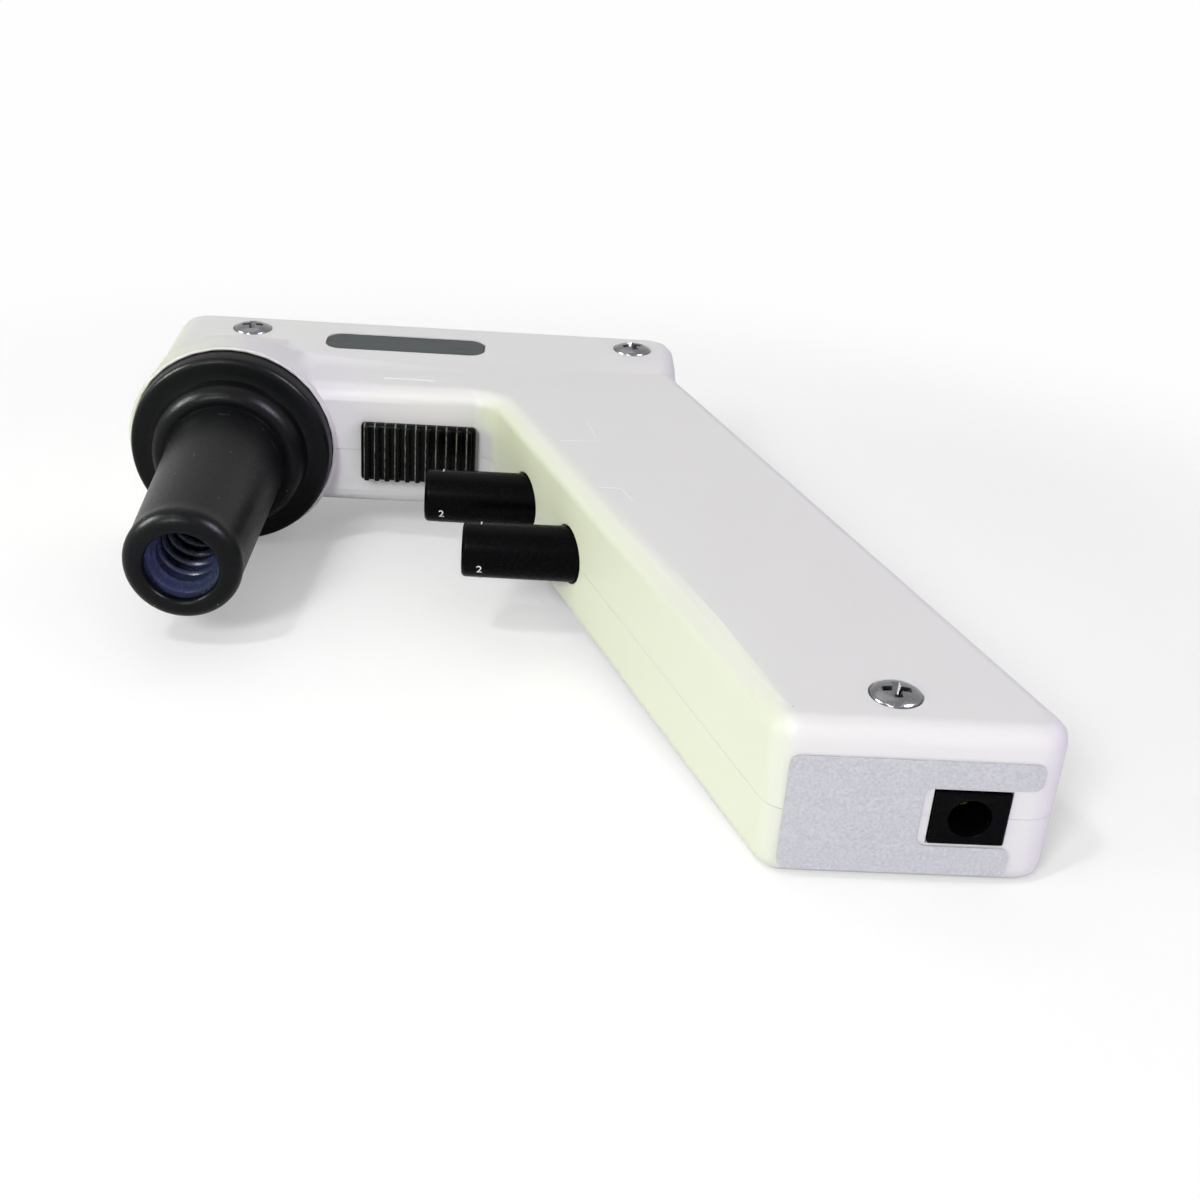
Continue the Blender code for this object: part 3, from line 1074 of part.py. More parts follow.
block("pump_diaphragm", (PUMP_START_X + 0.4 * MM, PUMP_END_X - 0.4 * MM),
      (sheet_front, sheet_back), (-PUMP_HEIGHT / 2 + 0.4 * MM, PUMP_HEIGHT / 2 - 0.4 * MM),
      RUBBER)
head_back = sheet_front - SEAT_GAP
head_front = head_back - HEAD_THICKNESS
head_box = block("head_box", (PUMP_START_X, PUMP_END_X), (head_front, head_back),
                 (-PUMP_HEIGHT / 2, PUMP_HEIGHT / 2))
head_y = (head_front + head_back) / 2
head_barbs = [rod("head_barb_%+d" % side, (PUMP_END_X - OVERLAP, head_y, side * PUMP_PORT_Z),
                  (PUMP_END_X + BARB_LENGTH, head_y, side * PUMP_PORT_Z), BARB_RADIUS, sides=12)
              for side in (-1, 1)]
head = joined("pump_head", head_box, head_barbs, ACETAL)
for side in (-1, 1):
    cut(head, rod("head_port_%+d" % side, (PUMP_END_X - 3.0 * MM, head_y, side * PUMP_PORT_Z),
                  (PUMP_END_X + BARB_LENGTH + 1.0 * MM, head_y, side * PUMP_PORT_Z),
                  0.5 * BARB_RADIUS, sides=8))
add(lower, block("pump_rest", (PUMP_START_X + 3.0 * MM, PUMP_END_X - 3.0 * MM),
                 (head_front + 1.0 * MM, pump_back - 1.0 * MM),
                 (FLOOR_Z - OVERLAP, -PUMP_HEIGHT / 2 - SEAT_GAP)))

# Hose manifold: two barbs towards the valves and one towards the nose
my = HEAD_FRONT_Y - MANIFOLD_FROM_FRONT
mx = back_face_x(my) - MANIFOLD_FROM_PALM
mz = MANIFOLD_Z
hub = block("hub", (mx - MANIFOLD_SIZE[0] / 2, mx + MANIFOLD_SIZE[0] / 2),
            (my - MANIFOLD_SIZE[1] / 2, my + MANIFOLD_SIZE[1] / 2),
            (mz - MANIFOLD_SIZE[2] / 2, mz + MANIFOLD_SIZE[2] / 2))
port_x = mx + 1.4 * MM
front_face = my - MANIFOLD_SIZE[1] / 2
back_face = my + MANIFOLD_SIZE[1] / 2
ports = [((port_x, front_face, mz + 2.6 * MM), -1.0), ((port_x, front_face, mz - 2.6 * MM), -1.0),
         ((mx, back_face, mz), 1.0)]
manifold_barbs = [rod("manifold_barb_%d" % i, (x, y - s * OVERLAP, z),
                      (x, y + s * BARB_LENGTH, z), BARB_RADIUS, sides=12)
                  for i, ((x, y, z), s) in enumerate(ports)]
manifold = joined("hose_manifold", hub, manifold_barbs, ACETAL)
for index, ((x, y, z), s) in enumerate(ports):
    cut(manifold, rod("manifold_port_%d" % index, (x, y - s * 2.0 * MM, z),
                      (x, y + s * (BARB_LENGTH + 1.0 * MM), z), 0.5 * BARB_RADIUS, sides=8))
add(lower, block("manifold_rest", (mx - 2.0 * MM, mx + 2.0 * MM), (my - 2.0 * MM, my + 2.0 * MM),
                 (FLOOR_Z - OVERLAP, mz - MANIFOLD_SIZE[2] / 2 - SEAT_GAP)))

# Hoses, each pushed over a barb at both ends
hose_bore = BARB_RADIUS + SEAT_GAP
lead_in = BARB_LENGTH + 0.3 * MM
fill = trigger_places(FILL_Y)
dispense = trigger_places(DISPENSE_Y)
fill_side_x = fill["valve"] + FILL_BARB_PLACE * VALVE_LENGTH
dispense_side_x = dispense["valve"] + DISPENSE_BARB_PLACE * VALVE_LENGTH
fill_side_y = FILL_Y + VALVE_WIDTH / 2 + SEAT_GAP
dispense_side_y = DISPENSE_Y + VALVE_WIDTH / 2 + SEAT_GAP
pump_side_x = PUMP_END_X + SEAT_GAP
fill_back_x = fill["valve_back"] + SEAT_GAP
dispense_back_x = dispense["valve_back"] + SEAT_GAP


def run(name, first, first_way, middle, last, last_way):
    """A hose that leaves one barb and ends on another, straight along both."""
    start = Vector(first)
    end = Vector(last)
    points = [start, start + Vector(first_way) * lead_in]
    points += [Vector(p) for p in middle]
    points += [end + Vector(last_way) * lead_in, end]
    return hose(name, points, HOSE_RADIUS, SILICONE_CLEAR, bore=hose_bore, samples=2, resolution=1)


RIGHT = (1.0, 0.0, 0.0)
BACK = (0.0, 1.0, 0.0)
FRONT = (0.0, -1.0, 0.0)
bend = HOSE_BEND
clear = HOSE_RADIUS + SEAT_GAP


def palm_x(y):
    """Centre of a hose that lies along the palm wall."""
    return back_face_x(y) - WALL_SPAN - clear


run("vacuum_hose", (pump_side_x, head_y, -PUMP_PORT_Z), RIGHT,
    [(pump_side_x + 1.85 * bend, head_y - 0.8 * bend, -PUMP_PORT_Z),
     (fill_side_x - 0.15 * bend, fill_side_y + 2.4 * bend, -0.6 * bend)],
    (fill_side_x, fill_side_y, 0.0), BACK)
over_z = VALVE_HEIGHT / 2 + 0.1 * bend
beside_x = fill["valve_back"] + clear + 0.15 * bend
run("pressure_hose", (pump_side_x, head_y, PUMP_PORT_Z), RIGHT,
    [(pump_side_x + 2.0 * bend, head_y - 0.75 * bend, PUMP_PORT_Z),
     (mx - 0.85 * bend, my - 0.25 * bend, over_z - 0.05 * bend),
     (beside_x, my - 2.25 * bend, over_z),
     (beside_x + 0.15 * bend, dispense_side_y + 3.4 * bend, over_z - 0.3 * bend),
     (dispense_side_x, dispense_side_y + 1.9 * bend, 0.55 * bend)],
    (dispense_side_x, dispense_side_y, 0.0), BACK)
run("fill_valve_hose", (fill_back_x, FILL_Y, 0.0), RIGHT,
    [(fill_back_x + 1.5 * bend, FILL_Y + 1.2 * bend, 0.0)],
    (port_x, front_face - SEAT_GAP, mz + 2.6 * MM), FRONT)
low_z = mz - 0.8 * bend
run("dispense_valve_hose", (dispense_back_x, DISPENSE_Y, 0.0), RIGHT,
    [(dispense_back_x + 1.4 * bend, DISPENSE_Y + 0.75 * bend, -0.3 * bend),
     (palm_x(FILL_Y - 1.5 * bend) - 0.2 * bend, FILL_Y - 1.5 * bend, mz - 0.6 * bend),
     (palm_x(FILL_Y + 1.3 * bend) - 0.3 * bend, FILL_Y + 1.3 * bend, low_z)],
    (port_x, front_face - SEAT_GAP, mz - 2.6 * MM), FRONT)
corridor_z = 2.1 * bend
corridor_y = HEAD_FRONT_Y + WALL + HOSE_RADIUS + 0.5 * bend
socket_hose_y = cup_floor + SOCKET_BACK + SEAT_GAP
run("nose_hose", (mx, back_face + SEAT_GAP, mz), BACK,
    [(mx - 0.15 * bend, back_face + 1.65 * bend, mz + 0.3 * bend),
     (mx - 0.85 * bend, my + 3.7 * bend, 0.85 * bend),
     (mx - 1.9 * bend, my + 4.1 * bend, 1.9 * bend),
     (PUMP_END_X + 1.05 * bend, my + 2.95 * bend, 2.2 * bend),
     (PUMP_END_X - 1.2 * bend, corridor_y, corridor_z),
     (MOTOR_X - 2.4 * bend, corridor_y, corridor_z),
     (NOSE_X + 5.5 * bend, corridor_y + 0.65 * bend, 2.0 * bend),
     (NOSE_X + 4.1 * bend, socket_hose_y + 0.75 * bend, 1.65 * bend),
     (NOSE_X + 2.6 * bend, socket_hose_y + 1.65 * bend, 1.05 * bend),
     (NOSE_X + 1.1 * bend, socket_hose_y + 1.95 * bend, 0.4 * bend)],
    (NOSE_X, socket_hose_y, 0.0), BACK)

# Leads from the jack to the board and from the board to the motor

def lead(name, *points):
    return hose(name, points, WIRE, COPPER_RED, samples=2, resolution=1)


def handle_point(across, reach, z):
    place = cell_start + beside * across + along * reach
    return (place.x, place.y, z)


board_middle = board_z + BOARD_THICKNESS / 2
jack_back = JACK_DEPTH - JACK_PROUD
lead("jack_lead", (JACK_WIDTH * 0.27, jack_back + SEAT_GAP, JACK_HEIGHT * 0.22),
     (JACK_WIDTH * 0.27, jack_back + 0.42 * bend, JACK_HEIGHT * 0.25),
     (JACK_WIDTH * 0.09, jack_back + 0.8 * bend, 1.25 * bend),
     handle_point(0.25 * BOARD_WIDTH, -0.35 * bend, board_middle),
     handle_point(0.25 * BOARD_WIDTH, -SEAT_GAP, board_middle))
roof_z = upper_level(HEAD_FRONT_Y) - WALL - 2.6 * WIRE
pair_x = 0.29 * BOARD_WIDTH
wall_x = HANDLE_WIDTH / 2 - WALL - bend
for label, side in (("a", -1.0), ("b", 1.0)):
    shift = side * 2.4 * WIRE
    lead("motor_lead_" + label,
         handle_point(pair_x + shift, BOARD_LENGTH + SEAT_GAP, board_middle),
         handle_point(pair_x + shift, BOARD_LENGTH + bend, board_middle + 0.15 * bend),
         handle_point(wall_x - 0.2 * bend + shift, BOARD_LENGTH + 5.5 * bend, roof_z),
         handle_point(wall_x + shift, BOARD_LENGTH + 13.0 * bend, roof_z),
         (mx + shift, HEAD_FRONT_Y + 0.4 * bend, roof_z + 0.2 * WIRE),
         (mx - 1.25 * bend + shift, HEAD_FRONT_Y + 3.4 * bend, roof_z + 0.4 * WIRE),
         (PUMP_END_X + 1.9 * bend + shift, MOTOR_Y - 1.05 * bend + shift, roof_z + 0.6 * WIRE),
         (PUMP_END_X - 0.2 * bend, MOTOR_Y - 0.5 * bend + shift, roof_z + 0.6 * WIRE),
         (MOTOR_X - 1.4 * bend, MOTOR_Y + shift, roof_z),
         (MOTOR_X - MOTOR_LENGTH / 2 - 0.5 * bend, MOTOR_Y + shift, 1.85 * bend),
         (MOTOR_X - MOTOR_LENGTH / 2 - 0.8 * bend, MOTOR_Y + 2.0 * shift, 1.05 * bend),
         (MOTOR_X - MOTOR_LENGTH / 2 - 0.45 * bend, MOTOR_Y + 2.5 * shift, 0.75 * bend),
         (MOTOR_X - MOTOR_LENGTH / 2 - SEAT_GAP, MOTOR_Y + 2.5 * shift, 0.75 * bend))

# The assembly rests on the collar's rim and on the base end's lower edge
frame = bpy.data.objects.new("rest_frame", None)
bpy.context.scene.collection.objects.link(frame)
rest_tilt = math.atan2(COLLAR_RADIUS - LOWER_HALF, COLLAR_FRONT_Y - EDGE_RADIUS)
frame.rotation_euler.x = rest_tilt
for group in (PARTS, CUTTERS):
    for piece in group.objects:
        piece.parent = frame
bpy.context.view_layer.update()
graph = bpy.context.evaluated_depsgraph_get()
lowest = np.full(3, np.inf)
highest = np.full(3, -np.inf)
for piece in PARTS.objects:
    shown = piece.evaluated_get(graph)
    mesh = shown.to_mesh()
    count = len(mesh.vertices)
    places = np.empty(count * 3)
    mesh.vertices.foreach_get("co", places)
    world = np.array(piece.matrix_world)
    places = places.reshape(-1, 3) @ world[:3, :3].T + world[:3, 3]
    lowest = np.minimum(lowest, places.min(axis=0))
    highest = np.maximum(highest, places.max(axis=0))
    shown.to_mesh_clear()
frame.location = (-(lowest[0] + highest[0]) / 2, -(lowest[1] + highest[1]) / 2, -lowest[2])
bpy.context.view_layer.update()
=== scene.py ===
"""Pipette controller on a pale sheet: finishes, refined visible pieces, light and camera.

Lengths in this file are millimetres in the body frame: X runs along the head towards the handle,
Y from the base end to the back of the head, Z across the parting plane, which is Z = 0.
REST carries them to the resting place of the frame's nodes.
"""

import json
import math

import bmesh
import bpy
from mathutils import Matrix, Vector

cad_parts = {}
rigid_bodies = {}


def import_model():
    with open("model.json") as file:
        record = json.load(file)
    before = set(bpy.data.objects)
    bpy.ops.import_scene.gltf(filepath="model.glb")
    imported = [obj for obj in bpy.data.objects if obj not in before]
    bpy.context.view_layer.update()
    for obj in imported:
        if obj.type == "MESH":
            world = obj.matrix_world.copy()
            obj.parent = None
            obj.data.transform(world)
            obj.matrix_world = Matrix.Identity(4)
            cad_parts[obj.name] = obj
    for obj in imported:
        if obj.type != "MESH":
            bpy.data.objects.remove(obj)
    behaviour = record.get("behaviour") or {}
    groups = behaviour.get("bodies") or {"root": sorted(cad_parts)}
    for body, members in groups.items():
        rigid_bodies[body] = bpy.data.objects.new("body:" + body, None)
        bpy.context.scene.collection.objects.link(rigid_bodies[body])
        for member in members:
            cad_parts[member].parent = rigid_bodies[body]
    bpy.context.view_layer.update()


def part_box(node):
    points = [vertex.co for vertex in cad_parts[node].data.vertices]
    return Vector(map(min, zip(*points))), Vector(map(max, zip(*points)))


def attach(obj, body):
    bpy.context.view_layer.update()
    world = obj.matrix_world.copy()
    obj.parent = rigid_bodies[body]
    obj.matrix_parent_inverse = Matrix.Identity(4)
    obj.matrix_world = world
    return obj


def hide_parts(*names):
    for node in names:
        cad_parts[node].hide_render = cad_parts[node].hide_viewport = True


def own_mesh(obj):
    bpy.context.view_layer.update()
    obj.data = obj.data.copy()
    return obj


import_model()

# The body frame at rest

# The object lies on the collar's front rim and on the rounded lower edge of the base.
COLLAR_RADIUS = 20.6
COLLAR_FRONT_Y = 115.8
LOWER_HALF = 12.2
EDGE_RADIUS = 3.3
TILT = math.atan2(COLLAR_RADIUS - LOWER_HALF, COLLAR_FRONT_Y - EDGE_RADIUS)
# Middle of the jack's pin in the body frame, in metres; the pin's node shows where that lies
PIN_MIDDLE = Vector((0.0, 0.00965, 0.0))
turn = Matrix.Rotation(TILT, 4, 'X')
pin_low, pin_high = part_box("jack_pin")
REST = (Matrix.Translation((pin_low + pin_high) / 2 - turn @ PIN_MIDDLE) @ turn
        @ Matrix.Scale(0.001, 4))

# Sizes that several pieces share
NOSE_X = -123.9
SEAT_GAP = 0.3
HEAD_FRONT_Y = 116.5
PAD_FRONT_Y = 130.6
UPPER_HALF = 14.65
UPPER_DROP = 1.3
BASE_RIGHT_X = 15.1
HANDLE_WIDTH = 41.1
HANDLE_SLANT = math.radians(20.53)
LEAN = math.tan(HANDLE_SLANT)
BASE_LEFT_X = BASE_RIGHT_X - HANDLE_WIDTH / math.cos(HANDLE_SLANT)


def upper_level(y):
    """Height of the handle's upper face, which drops a little towards the head."""
    return UPPER_HALF - UPPER_DROP * y / HEAD_FRONT_Y


# Finishes
def tint(code):
    """An sRGB hex colour as the linear one that a shader wants."""
    parts = [int(code[i:i + 2], 16) / 255.0 for i in (1, 3, 5)]
    return (*[c / 12.92 if c <= 0.04045 else ((c + 0.055) / 1.055) ** 2.4 for c in parts], 1.0)


def add(tree, kind, inputs=None, **settings):
    """One node with its settings, and its sockets either set or linked."""
    made = tree.nodes.new("ShaderNode" + kind)
    for name, value in settings.items():
        setattr(made, name, value)
    for socket, value in (inputs or {}).items():
        if isinstance(value, bpy.types.NodeSocket):
            tree.links.new(value, made.inputs[socket])
        else:
            made.inputs[socket].default_value = value
    return made


def begin(name, **sockets):
    """A fresh material: its tree, its shader with plain socket values, and object coordinates."""
    made = bpy.data.materials.new(name)
    made.use_nodes = True
    tree = made.node_tree
    shader = tree.nodes["Principled BSDF"]
    for socket, value in sockets.items():
        shader.inputs[socket.replace("_", " ")].default_value = value
    place = add(tree, "TexCoord").outputs["Object"]
    return made, tree, shader, place


def grained(name, light, dark, gloss, grain, relief, cloud=20.0, **sockets):
    """A finish whose colour drifts over `cloud` mm, and whose gloss and relief follow a grain.

    gloss is the lowest and highest roughness, grain the size of the texture in mm, and relief
    its depth in mm."""
    made, tree, shader, place = begin(name, **sockets)
    drift = add(tree, "TexNoise", {"Vector": place, "Scale": 1000.0 / cloud, "Detail": 3.0,
                                   "Roughness": 0.55})
    colour = add(tree, "Mix", {0: drift.outputs["Fac"], 6: tint(light), 7: tint(dark)},
                 data_type='RGBA')
    fine = add(tree, "TexNoise", {"Vector": place, "Scale": 1000.0 / grain, "Detail": 2.0,
                                  "Roughness": 0.6})
    sheen = add(tree, "MapRange", {"Value": fine.outputs["Fac"], "From Min": 0.3, "From Max": 0.7,
                                   "To Min": gloss[0], "To Max": gloss[1]})
    bump = add(tree, "Bump", {"Height": fine.outputs["Fac"], "Strength": 0.6,
                              "Distance": relief / 1000.0})
    tree.links.new(colour.outputs[2], shader.inputs["Base Color"])
    tree.links.new(sheen.outputs["Result"], shader.inputs["Roughness"])
    tree.links.new(bump.outputs["Normal"], shader.inputs["Normal"])
    return made


def place_in(tree):
    """The object coordinates that a finish already reads."""
    return next(n for n in tree.nodes if n.type == 'TEX_COORD').outputs["Object"]


def lay_over(tree, share, code):
    """Mix another colour into a finish, by a share that a node gives."""
    base = tree.nodes["Principled BSDF"].inputs["Base Color"]
    mixed = add(tree, "Mix", {0: share, 6: base.links[0].from_socket, 7: tint(code)},
                data_type='RGBA')
    tree.links.new(mixed.outputs[2], base)


def specks(made, code, spacing, size, share):
    """Scatter small marks of another colour over a finish.

    They are `size` mm across and `spacing` mm apart on average, and `share` of them show."""
    tree = made.node_tree
    place = place_in(tree)
    cells = add(tree, "TexVoronoi", {"Vector": place, "Scale": 1000.0 / spacing,
                                     "Randomness": 1.0})
    dot = add(tree, "Math", {0: cells.outputs["Distance"], 1: size / spacing},
              operation='LESS_THAN')
    pick = add(tree, "Math", {0: cells.outputs["Color"], 1: 1.0 - share}, operation='GREATER_THAN')
    both = add(tree, "Math", {0: dot.outputs[0], 1: pick.outputs[0]}, operation='MULTIPLY')
    soft = add(tree, "Math", {0: both.outputs[0], 1: 0.7}, operation='MULTIPLY')
    lay_over(tree, soft.outputs[0], code)


def rubbed(made, code, start, pitch, width):
    """Paler lines painted across X as highlights on rib edges: the first at `start`, one each
    `pitch`, in mm.
    """
    tree = made.node_tree
    place = place_in(tree)
    across = add(tree, "SeparateXYZ", {0: place})
    turns = add(tree, "Math", {0: across.outputs["X"], 1: 1000.0 / pitch,
                               2: 0.5 - start / pitch}, operation='MULTIPLY_ADD')
    phase = add(tree, "Math", {0: turns.outputs[0]}, operation='FRACT')
    line = add(tree, "Math", {0: phase.outputs[0], 1: 0.5, 2: 0.5 * width / pitch},
               operation='COMPARE')
    # Noise breaks the painted highlight lines into patches.
    glint_break_up_noise = add(tree, "TexNoise", {"Vector": place, "Scale": 1000.0 / 1.3, "Detail": 2.0})
    patch = add(tree, "MapRange", {"Value": glint_break_up_noise.outputs["Fac"], "From Min": 0.36,
                                   "From Max": 0.56, "To Min": 0.25, "To Max": 1.0})
    share = add(tree, "Math", {0: line.outputs[0], 1: patch.outputs["Result"]},
                operation='MULTIPLY')
    lay_over(tree, share.outputs[0], code)


# Moulded ABS from a spark-eroded tool: a matt skin that still catches a broad soft light.
# The tool's texture is about 0.1 mm, drawn at 0.32 mm so that it shows at all.
housing_abs = grained("housing_moulded_abs", "#c9c9ca", "#c4c4c5", (0.38, 0.48), 0.32, 0.012,
                      cloud=38.0, IOR=1.54)
specks(housing_abs, "#8d8478", 9.0, 0.16, 0.22)

# The crests of the raised index lines, painted paler as a highlight where they catch the light
index_crest_highlight_abs = grained("housing_abs_painted_crest_highlight", "#dadad9", "#cfcfce", (0.34, 0.46), 0.3, 0.006,
                     cloud=4.0, IOR=1.54)

# Black thermoplastic rubber of the nose: satin, with a leathery moulded skin and pale lint on it
nose_rubber = grained("nose_moulded_rubber", "#0c0d0f", "#08090a", (0.27, 0.38), 0.55, 0.035,
                      cloud=16.0, IOR=1.5, Specular_IOR_Level=0.095)
specks(nose_rubber, "#a4a8a6", 1.7, 0.11, 0.30)

# Glossy black acetal of the triggers, with handling marks in the gloss
trigger_acetal = grained("trigger_polished_acetal", "#050507", "#030304", (0.20, 0.32), 0.9,
                         0.004, cloud=8.0, IOR=1.48, Specular_IOR_Level=0.035)
specks(trigger_acetal, "#6d6d6a", 2.6, 0.06, 0.25)

# Black glass-filled nylon: slightly grey and dry, with fibres in the skin at 0.4 mm
black_nylon = grained("black_glass_filled_nylon", "#070808", "#040505", (0.16, 0.28), 0.4, 0.012,
                      cloud=6.0, IOR=1.53, Specular_IOR_Level=0.16)

# Ink of the numbers on the dials, a little broken up by wear
dial_ink = grained("dial_white_ink", "#e6e6e2", "#bdbdb8", (0.45, 0.60), 0.18, 0.004, cloud=0.5,
                   IOR=1.5)

# Zinc-plated steel, turned on the head: bright with fine rings of turning marks
plated_steel = grained("screw_plated_steel", "#7d7d7f", "#606063", (0.12, 0.28), 0.25, 0.004,
                       cloud=1.6, Metallic=1.0)

# Spring wire and punched steel of the contacts
spring_steel = grained("spring_steel", "#b4b3b0", "#8f8e8c", (0.22, 0.40), 0.3, 0.003, cloud=2.0,
                       Metallic=1.0)

# Ground stainless stem and shaft: drawn lines along the metal
ground_steel = grained("ground_stainless_steel", "#c3c3c2", "#a2a2a3", (0.14, 0.30), 0.18, 0.002,
                       cloud=4.0, Metallic=1.0)

# Motor can of deep-drawn zinc-plated sheet: cloudy, with a faint spangle at 1.4 mm
motor_can = grained("motor_can_zinc_plated_sheet", "#b9bbbd", "#94979b", (0.24, 0.42), 1.4, 0.006,
                    cloud=3.0, Metallic=1.0)

# Turned brass with darker tarnish clouds
turned_brass = grained("turned_brass", "#c9a45c", "#94713a", (0.20, 0.38), 0.3, 0.004, cloud=2.2,
                       Metallic=1.0)

# White acetal (POM): waxy, slightly see-through, with faint flow clouds
white_acetal = grained("white_acetal", "#e3e1da", "#d6d3ca", (0.34, 0.46), 0.6, 0.006, cloud=7.0,
                       IOR=1.48, Subsurface_Weight=0.12, Subsurface_Scale=0.001)

# Blue-grey silicone of the pipette grip: see-through and slick, so its lips catch light
grip_silicone = grained("grip_blue_silicone", "#4c5474", "#353d5e", (0.20, 0.32), 0.8, 0.004,
                        cloud=5.0, IOR=1.41, Transmission_Weight=0.35, Subsurface_Weight=0.2,
                        Subsurface_Scale=0.002)

# Clear silicone tubing: milky walls with a soft gloss
hose_silicone = grained("hose_clear_silicone", "#e0e0d8", "#cfcfc4", (0.26, 0.38), 0.7, 0.006,
                        cloud=6.0, IOR=1.41, Transmission_Weight=0.5)

# Nitrile seals: dead black with a dry skin
seal_nitrile = grained("seal_nitrile", "#1d1d1d", "#141414", (0.50, 0.66), 0.3, 0.008, cloud=2.0,
                       IOR=1.52)

# Printed-circuit board: green solder mask over copper pours that show as paler blocks
board_mask = grained("board_solder_mask", "#1d6b3d", "#124a2b", (0.24, 0.40), 0.5, 0.010,
                     cloud=2.6, IOR=1.5, Coat_Weight=0.4, Coat_Roughness=0.2)

# Heat-shrink jacket of the cells: glossy film, wrinkled a little over the can
cell_jacket = grained("cell_shrink_jacket", "#2f8f63", "#24754f", (0.20, 0.34), 2.2, 0.03,
                      cloud=9.0, IOR=1.53)

# PVC insulation of the leads
lead_pvc = grained("lead_pvc", "#b3261f", "#8f1d19", (0.36, 0.48), 0.25, 0.004, cloud=5.0,
                   IOR=1.53)

# Filter capsule: moulded polypropylene, cloudy white
filter_polypropylene = grained("filter_polypropylene", "#e9eae6", "#dcded9", (0.38, 0.52), 0.5,
                               0.008, cloud=5.0, IOR=1.49, Subsurface_Weight=0.15,
                               Subsurface_Scale=0.0015)

# Silvered paper label: a dull silver with a close grey speckle about 0.3 mm across
foil_label = grained("label_silvered_paper", "#c2c3c9", "#8c8e96", (0.46, 0.62), 0.34, 0.006,
                     cloud=0.48, IOR=1.5)

# Badge of printed aluminium: slate grey lacquer, brushed along its length under the print
badge_lacquer, tree, shader, place = begin("badge_lacquered_aluminium", IOR=1.5,
                                           Specular_IOR_Level=0.12)
stretch = add(tree, "Mapping", {"Vector": place, "Scale": (60.0, 2600.0, 2600.0)})
brushed = add(tree, "TexNoise", {"Vector": stretch.outputs[0], "Scale": 1.0, "Detail": 2.0})
colour = add(tree, "Mix", {0: brushed.outputs["Fac"], 6: tint("#3b4042"), 7: tint("#2c3032")},
             data_type='RGBA')
lines = add(tree, "Bump", {"Height": brushed.outputs["Fac"], "Strength": 0.3,
                           "Distance": 0.00001})
sheen = add(tree, "MapRange", {"Value": brushed.outputs["Fac"], "To Min": 0.32, "To Max": 0.46})
tree.links.new(colour.outputs[2], shader.inputs["Base Color"])
tree.links.new(lines.outputs["Normal"], shader.inputs["Normal"])
tree.links.new(sheen.outputs["Result"], shader.inputs["Roughness"])


# Shapes
def linked(name, data):
    """A new object at the origin, linked to the scene."""
    made = bpy.data.objects.new(name, data)
    bpy.context.scene.collection.objects.link(made)
    return made


def mesh_of(shape, name):
    """The mesh of a shape that is done with."""
    mesh = bpy.data.meshes.new(name)
    shape.to_mesh(mesh)
    shape.free()
    return mesh


def baked(source):
    """A shape with what an object's curve or modifiers make."""
    bpy.context.view_layer.update()
    graph = bpy.context.evaluated_depsgraph_get()
    mesh = bpy.data.meshes.new_from_object(source.evaluated_get(graph))
    shape = bmesh.new()
    shape.from_mesh(mesh)
    bpy.data.meshes.remove(mesh)
    return shape


def settle(shape, name, finish, body, angle=32.0):
    """Carry a shape to its place, close it up, and make it a piece that rides on a body."""
    bmesh.ops.transform(shape, matrix=REST, verts=shape.verts)
    bmesh.ops.remove_doubles(shape, verts=shape.verts, dist=1e-6)
    bmesh.ops.recalc_face_normals(shape, faces=shape.faces)
    mesh = mesh_of(shape, name)
    mesh.shade_smooth()
    mesh.set_sharp_from_angle(angle=math.radians(angle))
    piece = linked(name, mesh)
    mesh.materials.append(finish)
    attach(piece, body)
    return piece


def turned(shape, profile, axis, centre, steps=96, ring=False):
    """Spin (radius, station) pairs about a line along an axis, through a centre in its plane."""
    row = [shape.verts.new((r, 0.0, s)) for r, s in profile]
    pairs = list(zip(row, row[1:])) + ([(row[-1], row[0])] if ring else [])
    edges = [shape.edges.new(pair) for pair in pairs]
    bmesh.ops.spin(shape, geom=row + edges, cent=(0, 0, 0), axis=(0, 0, 1), angle=2 * math.pi,
                   steps=steps, use_merge=True, use_duplicate=False)
    if axis == 'Y':
        place = Matrix.Translation((centre[0], 0, centre[1])) @ Matrix.Rotation(-math.pi / 2, 4, 'X')
    elif axis == 'X':
        place = Matrix.Translation((0, centre[0], centre[1])) @ Matrix.Rotation(math.pi / 2, 4, 'Y')
    else:
        place = Matrix.Translation((centre[0], centre[1], 0))
    bmesh.ops.transform(shape, matrix=place, verts=shape.verts)


def arc(centre, radius, start, end, steps):
    """Points of a round in a profile, between two angles in degrees."""
    return [(centre[0] + radius * math.cos(math.radians(start + (end - start) * i / steps)),
             centre[1] + radius * math.sin(math.radians(start + (end - start) * i / steps)))
            for i in range(steps + 1)]


def block(shape, low, high, soft=0.0, segments=3, turned_by=None):
    """A box between two corners with softened edges, added to a shape."""
    size = [b - a for a, b in zip(low, high)]
    middle = [(a + b) / 2 for a, b in zip(low, high)]
    matrix = Matrix.Translation(middle) @ (turned_by or Matrix()) @ Matrix.Diagonal((*size, 1.0))
    made = bmesh.ops.create_cube(shape, size=1.0, matrix=matrix)
    if soft:
        edges = {e for v in made["verts"] for e in v.link_edges}
        bmesh.ops.bevel(shape, geom=list(edges), offset=soft, offset_type='OFFSET',
                        segments=segments, profile=0.5, affect='EDGES', material=-1)


def traced(node):
    """A merged copy of a CAD node's mesh, in the body frame."""
    shape = bmesh.new()
    shape.from_mesh(bpy.data.objects[node].data)
    bmesh.ops.remove_doubles(shape, verts=shape.verts, dist=2e-6)
    bmesh.ops.transform(shape, matrix=REST.inverted(), verts=shape.verts)
    return shape


def even_shading(piece):
    """Keep broad flat faces flat where they meet rounded edges."""
    weigh = piece.modifiers.new("flat faces first", 'WEIGHTED_NORMAL')
    weigh.keep_sharp = True
    weigh.weight = 80


# Housing

